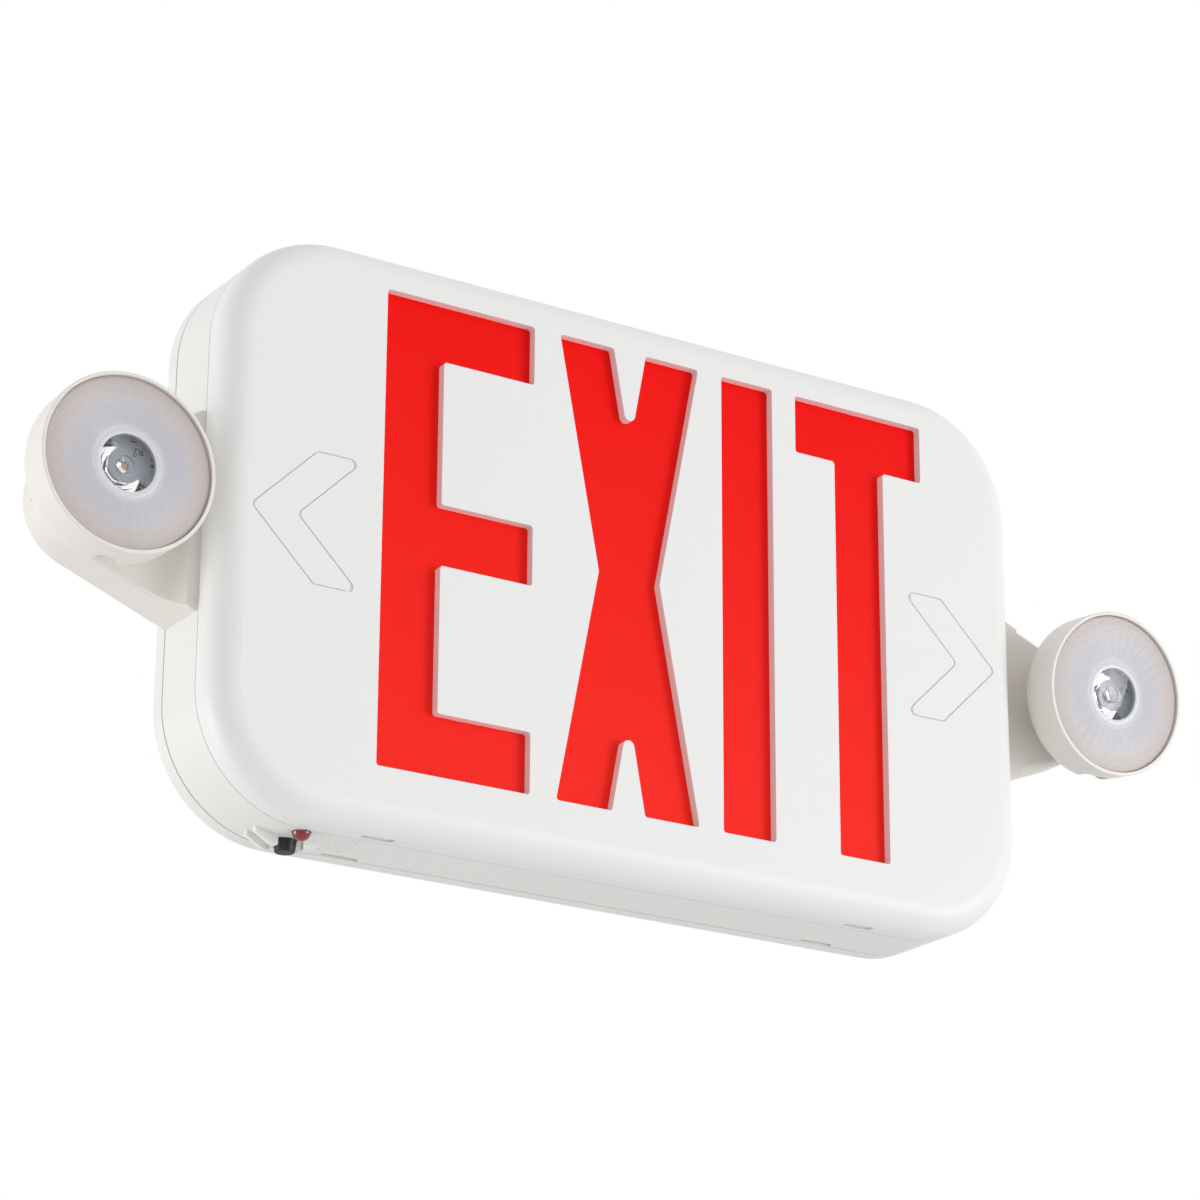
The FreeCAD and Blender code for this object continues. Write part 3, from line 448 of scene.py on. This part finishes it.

# %% [markdown]
# ## Clear and frosted finishes of the lens
#
# A lens like this is one clear moulding. Its middle is polished, so it is a window with the real
# glass-like bending of light. Round it, hundreds of little facets scatter the light, and from a
# step away that zone looks like frosted plastic. Its colour is painted light: bluish near the window
# and a warmer pinkish grey towards the rim, standing in for the white cup and the board inside, seen
# through the clear facets. The distance from the lens's own axis drives the colour. A Mapping node
# moves the object coordinates onto that axis first, because the piece's origin is the whole sign's
# origin.

# %% Lens finishes
facet_roughness = 0.34
facet_cloud_scale = 240.0
facet_cloud_roughness = 0.12
# Painted light: these colours stand in for the cup and board inside, seen through the clear facets.
facet_painted_light_colours = [
    (0.33, linear(238, 239, 241)),
    (0.41, linear(234, 235, 239)),
    (0.46, linear(217, 219, 226)),
    (0.60, linear(216, 217, 226)),
    (0.74, linear(224, 218, 221)),
    (0.86, linear(223, 213, 212)),
    (0.97, linear(216, 205, 202)),
]
clear_plastic = new_finish(
    "lens_clear", Base_Color=(0.97, 0.975, 0.98, 1), Roughness=0.015, IOR=1.49,
    Transmission_Weight=1.0,
)[0]


def make_facet_finish(side):
    material, shader, wire = new_finish(
        "lens_facets_" + side, IOR=1.49, Transmission_Weight=0.22, Coat_Weight=0.25,
        Coat_Roughness=0.25,
    )
    place = places[side]
    centred = wire.node("ShaderNodeMapping", {"vector_type": "TEXTURE"}, {
        "Vector": wire.node("ShaderNodeTexCoord", output="Object"),
        "Location": place.to_translation(),
        "Rotation": place.to_euler(),
    })
    across = wire.node("ShaderNodeSeparateXYZ", inputs={"Vector": centred}, output="X")
    upward = wire.node("ShaderNodeSeparateXYZ", inputs={"Vector": centred}, output="Z")
    share = (across * across + upward * upward).power(0.5) / lens_radius
    tint = wire.node("ShaderNodeValToRGB", {"stops": facet_painted_light_colours}, {"Fac": share})
    feed(shader, "Base Color", tint)
    cloud = grain(wire, facet_cloud_scale)
    feed(shader, "Roughness", facet_roughness + (cloud - 0.5) * facet_cloud_roughness)
    return material


facet_finish = {side: make_facet_finish(side) for side in places}
print("lens finishes:", [finish.name for finish in facet_finish.values()])

# %% [markdown]
# ## The ribs of the lens
#
# The scattering zone is a set of fine rings, broken every ten degrees by a shallow pillow. A rule
# gives its whole shape, so Geometry Nodes make it: a flat grid is bent round into a ring, and two
# waves lift its surface. The first wave runs outwards and makes the ribs, the second runs round
# and makes the pillows. Modelling each rib by hand would give the same mesh with far more work,
# and a bump map would leave the rings flat when the lamp is seen from the side.

# %% Open and close a tree
def open_tree(name, sockets):
    """An empty tree with named inputs. Returns it, its inputs as Wires, and its end."""
    tree = bpy.data.node_groups.new(name, "GeometryNodeTree")
    tree.interface.new_socket("Mesh", in_out="OUTPUT", socket_type="NodeSocketGeometry")
    for label, kind in sockets:
        tree.interface.new_socket(label, in_out="INPUT", socket_type=kind)
    start = tree.nodes.new("NodeGroupInput")
    end = tree.nodes.new("NodeGroupOutput")
    return tree, {label: Wire(tree, start.outputs[label]) for label, kind in sockets}, end


def close_tree(wire, shape, finish, end):
    """Realize, give the finish and end the tree."""
    real = wire.node("GeometryNodeRealizeInstances", {}, {"Geometry": shape})
    dressed = wire.node("GeometryNodeSetMaterial", {}, {"Geometry": real, "Material": finish})
    wire.tree.links.new(dressed.socket, end.inputs["Mesh"])


print("node groups so far:", len(bpy.data.node_groups))

# %% A tree for the ribbed ring
full_turn = 2 * math.pi
seam_distance = 0.000001
rib_inputs = (
    ("Inner Radius", "NodeSocketFloat"), ("Outer Radius", "NodeSocketFloat"),
    ("Front", "NodeSocketFloat"), ("Ribs", "NodeSocketInt"), ("Rib Steps", "NodeSocketInt"),
    ("Rib Height", "NodeSocketFloat"), ("Pillows", "NodeSocketInt"), ("Sides", "NodeSocketInt"),
    ("Pillow Height", "NodeSocketFloat"), ("Finish", "NodeSocketMaterial"),
)


def make_rib_tree():
    tree, given, end = open_tree("ribbed_ring", rib_inputs)
    wire = Wire(tree)
    grid = wire.node("GeometryNodeMeshGrid", {}, {
        "Size X": 1.0, "Size Y": 1.0,
        "Vertices X": given["Sides"] + 1, "Vertices Y": given["Ribs"] * given["Rib Steps"] + 1,
    })
    flat = wire.node("GeometryNodeInputPosition")
    round_way = wire.node("ShaderNodeSeparateXYZ", {}, {0: flat}, "X") + 0.5
    out_way = wire.node("ShaderNodeSeparateXYZ", {}, {0: flat}, "Y") + 0.5
    turn = round_way * full_turn
    radius = given["Inner Radius"] + out_way * (given["Outer Radius"] - given["Inner Radius"])
    rib = 0.5 - (out_way * given["Ribs"] * full_turn).cosine() * 0.5
    pillow = (round_way * given["Pillows"] * math.pi).wave()
    edge_fade = (out_way * math.pi).wave()
    lift = rib * given["Rib Height"] + pillow * pillow * edge_fade * given["Pillow Height"]
    bent = wire.node("ShaderNodeCombineXYZ", {}, {
        0: radius * turn.cosine(), 1: given["Front"] - lift, 2: radius * turn.wave(),
    })
    ring = wire.node("GeometryNodeSetPosition", {}, {"Geometry": grid, "Position": bent})
    closed = wire.node("GeometryNodeMergeByDistance", {}, {
        "Geometry": ring, "Distance": seam_distance,
    })
    close_tree(wire, closed, given["Finish"], end)
    return tree


rib_tree = make_rib_tree()
print("tree nodes:", len(rib_tree.nodes))

# %% [markdown]
# ## From a tree to a mesh
#
# A tree needs an object to run on. `grow` makes one for the moment, sets the tree's inputs on the
# modifier by their identifiers, and copies the evaluated result into a plain mesh. The object and
# its modifier then go, because the finished piece has to be a mesh that anything can read.

# %% Run a tree and keep its mesh
def grow(tree, name, values, base=None):
    """Run a Geometry Nodes tree on an object and return the mesh that comes out."""
    carrier = bpy.data.objects.new(name + "_carrier", base or bpy.data.meshes.new(name + "_base"))
    bpy.context.scene.collection.objects.link(carrier)
    modifier = carrier.modifiers.new("tree", "NODES")
    modifier.node_group = tree
    for item in tree.interface.items_tree:
        if item.in_out == "INPUT" and item.name in values:
            modifier[item.identifier] = values[item.name]
    depsgraph = bpy.context.evaluated_depsgraph_get()
    mesh = bpy.data.meshes.new_from_object(carrier.evaluated_get(depsgraph))
    mesh.name = name
    carrier.modifiers.clear()
    bpy.data.objects.remove(carrier)
    return mesh


print("inputs of the ribbed ring:", [label for label, kind in rib_inputs])

# %% [markdown]
# ## The lens
#
# The ribbed ring is joined to the rest of the moulding: the smooth collar round the window, the
# edge, the flat back and the thick boss that reaches down over the light source like a funnel.
# The boss is what makes the bright, broken reflections in the window, so it is a real shape and
# not a picture. Its hollow has a roof that rises in steps to a point, and it leaves room for the
# light's dome.

# %% Sizes of the lens
lens_sides = 180
window_radius = 8.75 * mm
window_sink = 0.12 * mm
window_lip = 0.3 * mm
collar_radius = 10.6 * mm
collar_slope = 0.35 * mm
rim_width = 0.5 * mm
rim_slope = 0.2 * mm
boss_depth = 2.9 * mm
boss_tip_radius = 5.6 * mm
pocket_radius = 3.0 * mm
pocket_depth = 1.6 * mm
pocket_roof = ((2.0 * mm, 0.35 * mm), (1.0 * mm, 0.55 * mm), (0, 0.62 * mm))
rib_outer = lens_radius - rim_width
ring_front = lens_front + 0.16 * mm
window_front = lens_front + window_sink
lens_back = lens_high.y - boss_depth
boss_tip = lens_high.y
pocket_floor = boss_tip - pocket_depth
ring_sizes = {
    "Inner Radius": collar_radius, "Outer Radius": rib_outer, "Front": ring_front,
    "Ribs": 26, "Rib Steps": 4, "Rib Height": 0.10 * mm,
    "Pillows": 36, "Sides": lens_sides, "Pillow Height": 0.05 * mm,
}
print("ribs from", round(collar_radius, 5), "to", round(rib_outer, 5), "back", round(lens_back, 5))

# %% Lenses
facets, clear = 0, 1


def lens_profiles():
    """The turned parts of the lens, as (finish, points): edge and back, collar, window, boss."""
    edge = [
        (rib_outer, ring_front), (lens_radius, ring_front + rim_slope), (lens_radius, lens_back),
        (window_radius, lens_back),
    ]
    collar = [
        (collar_radius, ring_front), (collar_radius - collar_slope, lens_front),
        (window_radius + window_lip, lens_front), (window_radius, window_front),
    ]
    window = [(window_radius, window_front), (0, window_front)]
    boss = [
        (window_radius, lens_back), (boss_tip_radius, boss_tip), (pocket_radius, boss_tip),
        (pocket_radius, pocket_floor),
    ]
    boss += [(radius, pocket_floor + rise) for radius, rise in pocket_roof]
    return (facets, edge), (facets, collar), (clear, window), (clear, boss)


def make_lens(side):
    mesh = grow(rib_tree, "lens_" + side, {**ring_sizes, "Finish": facet_finish[side]})
    form = bmesh.new()
    form.from_mesh(mesh)
    for face in form.faces:
        face.material_index = facets
    for finish, profile in lens_profiles():
        spin(form, profile, lens_sides, finish)
    mesh.materials.clear()
    mesh.materials.append(facet_finish[side])
    mesh.materials.append(clear_plastic)
    form.to_mesh(mesh)
    form.free()
    piece = settle(mesh, "ribbed_lens_" + side, "lamp_" + side, places[side], 40)
    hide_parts("lamp_lens_" + side)
    return piece


for side in places:
    lens = make_lens(side)
    print(lens.name, "faces:", len(lens.data.polygons))

# %% [markdown]
# ## The light source
#
# Under the boss sits one surface-mounted light source: a white ceramic body, a yellow phosphor
# square in a dark frame, and a clear silicone dome over it. The solid model has these as one
# block. Here they are separate pieces with their own finishes, so that the dome bends the view of
# the phosphor.

# %% Blocks and finished meshes
def make_block(form, centre, size, finish, bevel=0.0):
    made = bmesh.ops.create_cube(form, size=1)["verts"]
    bmesh.ops.scale(form, vec=size, verts=made)
    bmesh.ops.translate(form, vec=centre, verts=made)
    faces = {face for corner in made for face in corner.link_faces}
    for face in faces:
        face.material_index = finish
    if bevel:
        edges = list({edge for corner in made for edge in corner.link_edges})
        bmesh.ops.bevel(
            form, geom=edges, offset=bevel, segments=2, affect="EDGES", material=finish
        )


def finished_mesh(form, name, *materials):
    mesh = bpy.data.meshes.new(name)
    form.to_mesh(mesh)
    form.free()
    for material in materials:
        mesh.materials.append(material)
    return mesh


print("meshes before the light sources:", len(bpy.data.meshes))

# %% Sizes and finishes of the light source
ceramic = moulded("source_ceramic", linear(232, 232, 228), 0.35)
phosphor = moulded("source_phosphor", linear(240, 214, 120), 0.5)
frame_dark = moulded("source_frame", linear(24, 24, 27), 0.4)
source_width = 3.5 * mm
source_depth = 0.8 * mm
source_bevel = 0.1 * mm
frame_width = 1.9 * mm
frame_thickness = 0.06 * mm
phosphor_width = 1.45 * mm
phosphor_thickness = 0.12 * mm
dome_radius = 1.6 * mm
dome_lift = 0.07 * mm
dome_steps = 12
dome_sides = 48
source_top = board_front - source_depth
dome_foot = source_top - dome_lift
print("the dome reaches", round(board_front - dome_foot + dome_radius, 5), "m out of the board")

# %% Light sources
def make_source(side):
    """The ceramic body with its frame and phosphor, and the dome as a piece of its own."""
    form = bmesh.new()
    middle = (0, board_front - source_depth / 2, 0)
    make_block(form, middle, (source_width, source_depth, source_width), 0, source_bevel)
    for finish, width, thickness in (
        (1, frame_width, frame_thickness), (2, phosphor_width, phosphor_thickness),
    ):
        make_block(form, (0, source_top, 0), (width, thickness, width), finish)
    body = settle(
        finished_mesh(form, "source_" + side, ceramic, frame_dark, phosphor),
        "light_source_" + side, "lamp_" + side, places[side], 30,
    )
    form = bmesh.new()
    arc = [math.radians(90 * step / dome_steps) for step in range(dome_steps)]
    shell = [(dome_radius * math.cos(a), dome_foot - dome_radius * math.sin(a)) for a in arc]
    spin(form, shell + [(0, dome_foot - dome_radius)], dome_sides)
    spin(form, [(dome_radius, dome_foot), (0, dome_foot)], dome_sides)
    dome = settle(
        finished_mesh(form, "dome_" + side, clear_plastic),
        "source_dome_" + side, "lamp_" + side, places[side],
    )
    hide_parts("lamp_emitter_" + side)
    return body, dome


for side in places:
    print([piece.name for piece in make_source(side)])

# %% [markdown]
# ## Parts on the lamp boards
#
# Three small chip resistors sit beside each light source: a tan body between two dark ends. The
# chips are all alike, so a Geometry Nodes tree puts one chip on each point of a small set of
# places. It runs twice, once for the bodies and once for the ends, because each run gives one
# finish.

# %% A tree for chips on points
def make_chip_tree():
    tree, given, end = open_tree("chips_on_points", (
        ("Places", "NodeSocketGeometry"), ("Chip", "NodeSocketObject"),
        ("Finish", "NodeSocketMaterial"),
    ))
    wire = Wire(tree)
    chip = wire.node("GeometryNodeObjectInfo", {}, {"Object": given["Chip"]}, "Geometry")
    points = wire.node("GeometryNodeMeshToPoints", {}, {"Mesh": given["Places"]})
    copies = wire.node("GeometryNodeInstanceOnPoints", {}, {"Points": points, "Instance": chip})
    close_tree(wire, copies, given["Finish"], end)
    return tree


chip_tree = make_chip_tree()
print("tree nodes:", len(chip_tree.nodes))

# %% Sizes, places and finishes of the chips
chip_tan = moulded("chip_tan", linear(206, 194, 160), 0.4)
chip_end = moulded("chip_end", linear(30, 29, 30), 0.4)
ink = moulded("part_mark_ink", linear(28, 28, 32), 0.55)
chip_places = {
    "left": [(3.2, 8.6), (8.9, 3.2), (-6.4, 6.0)],
    "right": [(7.4, 6.2), (4.6, 8.4), (5.9, -6.0)],
}
chip_width, chip_depth, chip_length = 1.5 * mm, 0.5 * mm, 1.9 * mm
core_share = 0.72
core_bevel = 0.05 * mm
end_place = 0.43
end_size = (chip_width * 1.04, chip_depth * 1.06, chip_length * 0.15)
end_bevel = 0.04 * mm
print("chips on each board:", {side: len(spots) for side, spots in chip_places.items()})

# %% Chips
def make_chip(core):
    """One chip: the tan core, or its two dark ends, so that each tree run sets one finish."""
    form = bmesh.new()
    if core:
        size = (chip_width, chip_depth, chip_length * core_share)
        make_block(form, (0, -chip_depth / 2, 0), size, 0, core_bevel)
    else:
        for end in (-1, 1):
            centre = (0, -chip_depth / 2, end * chip_length * end_place)
            make_block(form, centre, end_size, 0, end_bevel)
    chip = bpy.data.objects.new("chip_core" if core else "chip_ends", finished_mesh(form, "chip"))
    bpy.context.scene.collection.objects.link(chip)
    return chip


for side in places:
    dots = bpy.data.meshes.new("chip_places_" + side)
    dots.from_pydata([(x * mm, board_front, z * mm) for x, z in chip_places[side]], [], [])
    for core, finish in ((True, chip_tan), (False, chip_end)):
        chip = make_chip(core)
        label = ("chip_cores_" if core else "chip_ends_") + side
        mesh = grow(chip_tree, label, {"Chip": chip, "Finish": finish}, dots.copy())
        bpy.data.objects.remove(chip)
        chips = settle(mesh, label, "lamp_" + side, places[side], 30)
        print(chips.name, "faces:", len(chips.data.polygons))

# %% [markdown]
# ## Printed marks and raised words
#
# Words start as text objects, because that gives real letter shapes in one step, where drawn
# letters would take an outline each. The text becomes a mesh before it is moved. The part marks
# on the boards are ink, a hair above the surface. The words beside the test button are part of
# the moulding: they stand about a quarter of a millimetre out of its underside, with softened
# edges, and have its plastic.

# %% A word as a mesh
capital_share = 0.7


def make_word(text, height, thickness, bevel, place, name, finish):
    """A word with capitals of this height, centred on its own place, which the matrix gives."""
    curve = bpy.data.curves.new(name, "FONT")
    curve.body = text
    curve.size = height / capital_share
    curve.align_x = "CENTER"
    curve.align_y = "CENTER"
    curve.extrude = thickness / 2
    curve.bevel_depth = bevel
    curve.bevel_resolution = 1
    writer = bpy.data.objects.new(name + "_writer", curve)
    bpy.context.scene.collection.objects.link(writer)
    depsgraph = bpy.context.evaluated_depsgraph_get()
    mesh = bpy.data.meshes.new_from_object(writer.evaluated_get(depsgraph))
    bpy.data.objects.remove(writer)
    mesh.name = name
    mesh.transform(place)
    mesh.materials.clear()
    mesh.materials.append(finish)
    return mesh


print("capitals take", capital_share, "of the type size")

# %% Ink marks on the boards
mark_height = 1.9 * mm
ink_thickness = 0.03 * mm
upright = Matrix.Rotation(math.radians(90), 4, "X")
marks = {"left": ("R2", (4.6, 5.4), 172), "right": ("R1", (6.6, 3.4), 168)}
for side, (text, (x, z), turned) in marks.items():
    spot = Matrix.Translation((x * mm, board_front - ink_thickness, z * mm))
    on_board = spot @ Matrix.Rotation(math.radians(turned), 4, "Y") @ upright
    mesh = make_word(text, mark_height, ink_thickness, 0, on_board, "mark_" + side, ink)
    mark = settle(mesh, "part_mark_" + side, "lamp_" + side, places[side])
    print(mark.name, "says", text)

# %% Raised words
word_thickness = 0.3 * mm
word_bevel = 0.08 * mm
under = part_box("front_cover")[0].z
indicator_low, indicator_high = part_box("ac_indicator")
indicator_mid = (indicator_low + indicator_high) / 2
button_low, button_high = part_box("test_button")
button_mid = (button_low + button_high) / 2
facing_down = Matrix.Rotation(math.radians(180), 4, "X")
for text, beside, (along, back), height, name in (
    ("AC ON", indicator_mid, (13.3 * mm, 0.6 * mm), 2.7 * mm, "word_ac_on"),
    ("TEST", button_mid, (18.0 * mm, 0.2 * mm), 2.4 * mm, "word_test"),
):
    place = Matrix.Translation((beside.x + along, beside.y + back, under)) @ facing_down
    mesh = make_word(text, height, word_thickness, word_bevel, place, name, housing_white)
    word = settle(mesh, name, "housing", Matrix())
    print(name, "faces:", len(mesh.polygons))

# %% [markdown]
# ## The arms' shoulders
#
# Near the housing each arm sweeps forward to meet it. The sweep is one closed surface on the real
# moulding, while the solid arm has an opening there. The skin made here is that surface, about a
# millimetre thick. A profile gives its depth along the arm, and each step takes the arm's
# tapering height. A sculpted patch would do too, but a profile keeps the sweep exactly level from
# top to bottom.

# %% Sizes of the shoulder
arm_half = 31.7 * mm
arm_slope = math.tan(math.radians(21.4))
edge_gap = 0.3 * mm
housing_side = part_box("front_cover")[1].x
shoulder_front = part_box("arm_right")[0].y
shoulder_start = 0.2 * mm
shoulder_reach = 1.5 * mm
pad_drop = 5.6 * mm
pad_depth = shoulder_front + pad_drop
pad_lap = 2.0 * mm
blend_radius = 12.0 * mm
blend_steps = 14
skin = 1.0 * mm
proud = 0.04 * mm
print("shoulder from", round(shoulder_front, 5), "back to", round(pad_depth, 5))

# %% Arm shoulders
def shoulder_profile():
    """Points of (distance from the housing, depth) from the housing out to the flat pad."""
    points = [(shoulder_start, shoulder_front), (shoulder_reach, shoulder_front)]
    centre_x = shoulder_reach + blend_radius
    centre_y = pad_depth - blend_radius
    start = math.asin((shoulder_front - centre_y) / blend_radius)
    for step in range(blend_steps + 1):
        angle = start + (math.radians(90) - start) * step / blend_steps
        across, along = blend_radius * math.cos(angle), blend_radius * math.sin(angle)
        points.append((centre_x - across, centre_y + along))
    points.append((centre_x + pad_lap, pad_depth + 2 * proud))
    return points


def make_shoulder(side):
    form = bmesh.new()
    sign = 1 if side == "right" else -1
    rows = []
    for out, depth in shoulder_profile():
        half = arm_half - out * arm_slope - edge_gap
        x = sign * (housing_side + out)
        front, back = depth - proud, depth + skin
        rows.append([
            form.verts.new((x, front, -half)), form.verts.new((x, front, half)),
            form.verts.new((x, back, half)), form.verts.new((x, back, -half)),
        ])
    for near, far in zip(rows, rows[1:]):
        for corner in range(4):
            after = (corner + 1) % 4
            form.faces.new([near[corner], near[after], far[after], far[corner]])
    form.faces.new(rows[0])
    form.faces.new(list(reversed(rows[-1])))
    mesh = finished_mesh(form, "shoulder_" + side, arm_white)
    piece = settle(mesh, "arm_shoulder_" + side, "housing", Matrix(), 30)
    return piece


for side in places:
    print(make_shoulder(side).name)

# %% [markdown]
# ## Floor and surroundings
#
# The sign hangs in a plain white room. A pale floor well below it throws light back up, as the
# ground does under a real sign. The world is white where the camera, a mirror or a clear part looks
# straight at it, and dimmer for the light that it sheds on the surfaces, so the background stays
# white while the white plastic keeps its shading. A grey world with a white wall behind the sign
# would cast a wall's bounce as well.

# %% Floor
floor_size = 12.0
floor_place = (0, 0, -0.9)
floor_grey = 0.85


def stage_plane(name, size, place, colour):
    mesh = bpy.data.meshes.new(name)
    half = size / 2
    corners = [(-half, -half, 0), (half, -half, 0), (half, half, 0), (-half, half, 0)]
    mesh.from_pydata(corners, [], [(0, 1, 2, 3)])
    plane = bpy.data.objects.new(name, mesh)
    plane.location = place
    bpy.context.scene.collection.objects.link(plane)
    material = new_finish(name, Base_Color=(*colour, 1), Roughness=0.9)[0]
    mesh.materials.append(material)
    return plane


floor = stage_plane("floor", floor_size, floor_place, (floor_grey,) * 3)
print("floor", floor_size, "m wide at height", floor.location.z)

# %% World
world_shed = 0.68
world = bpy.data.worlds.new("studio")
bpy.context.scene.world = world
world.use_nodes = True
tree = world.node_tree
air = Wire(tree)
camera_ray = air.node("ShaderNodeLightPath", output="Is Camera Ray")
glossy_ray = air.node("ShaderNodeLightPath", output="Is Glossy Ray")
clear_ray = air.node("ShaderNodeLightPath", output="Is Transmission Ray")
seen = camera_ray.larger(glossy_ray).larger(clear_ray)
level = world_shed + seen * (1 - world_shed)
background = tree.nodes["Background"]
background.inputs["Color"].default_value = (1, 1, 1, 1)
tree.links.new(level.socket, background.inputs["Strength"])
print("world nodes:", len(tree.nodes))

# %% [markdown]
# ## Lamps
#
# Two large round lamps shape the white forms softly, as windows would. The key stands to the
# right and in front, away from where the red panel would mirror it. The rim grazes the left side
# from behind. The undersides get the light that the floor and the room send back. Small lamps
# would draw hard shadows of the arms. Each lamp has a place, a point it looks at, a diameter and
# its watts.

# %% Soft lamps
def soft_lamp(name, place, target, size, watts):
    light = bpy.data.lights.new(name, "AREA")
    light.shape = "DISK"
    light.size = size
    light.energy = watts
    lamp = bpy.data.objects.new(name, light)
    lamp.location = place
    aim = Vector(target) - Vector(place)
    lamp.rotation_mode = "QUATERNION"
    lamp.rotation_quaternion = aim.to_track_quat("-Z", "Y")
    bpy.context.scene.collection.objects.link(lamp)
    return lamp


for name, place, target, size, watts in (
    ("key", (2.0, -2.1, -0.2), (0, 0, 0), 1.6, 30),
    ("rim", (-2.0, 0.9, -0.5), (-0.15, 0, 0), 1.4, 20),
):
    lamp = soft_lamp(name, place, target, size, watts)
    print(lamp.name, "gives", watts, "W over", size, "m")

# %% [markdown]
# ## Camera
#
# The camera stands to the left of the sign and a little below it, and looks up at it through a
# long lens, so the edges of the housing stay nearly parallel. Its direction is three turns, as on
# a tripod: round the upright axis, up, and a slight roll.

# %% Camera
camera_place = (-0.6349, -1.0070, -0.4263)
camera_turn, camera_rise, camera_roll = -32.59, 20.10, 0.30
camera_data = bpy.data.cameras.new("camera")
camera = bpy.data.objects.new("camera", camera_data)
bpy.context.scene.collection.objects.link(camera)
camera.matrix_world = (
    Matrix.Translation(camera_place)
    @ Matrix.Rotation(math.radians(camera_turn), 4, "Z")
    @ Matrix.Rotation(math.radians(90 + camera_rise), 4, "X")
    @ Matrix.Rotation(math.radians(camera_roll), 4, "Z")
)
camera_data.lens = 119.37
camera_data.sensor_width = 36
camera_data.clip_start = 0.05
bpy.context.scene.camera = camera
bpy.context.scene.view_settings.view_transform = "Standard"
print("camera", round(Vector(camera_place).length, 3), "m from the sign's middle")

# %% [markdown]
# ## Sizes, and the end of the lesson
#
# The added pieces must not make the sign larger than its solid model. The box of the solid model
# is printed here.

# %% Print the box of the solid model
print("cad box", cad_low, cad_high)
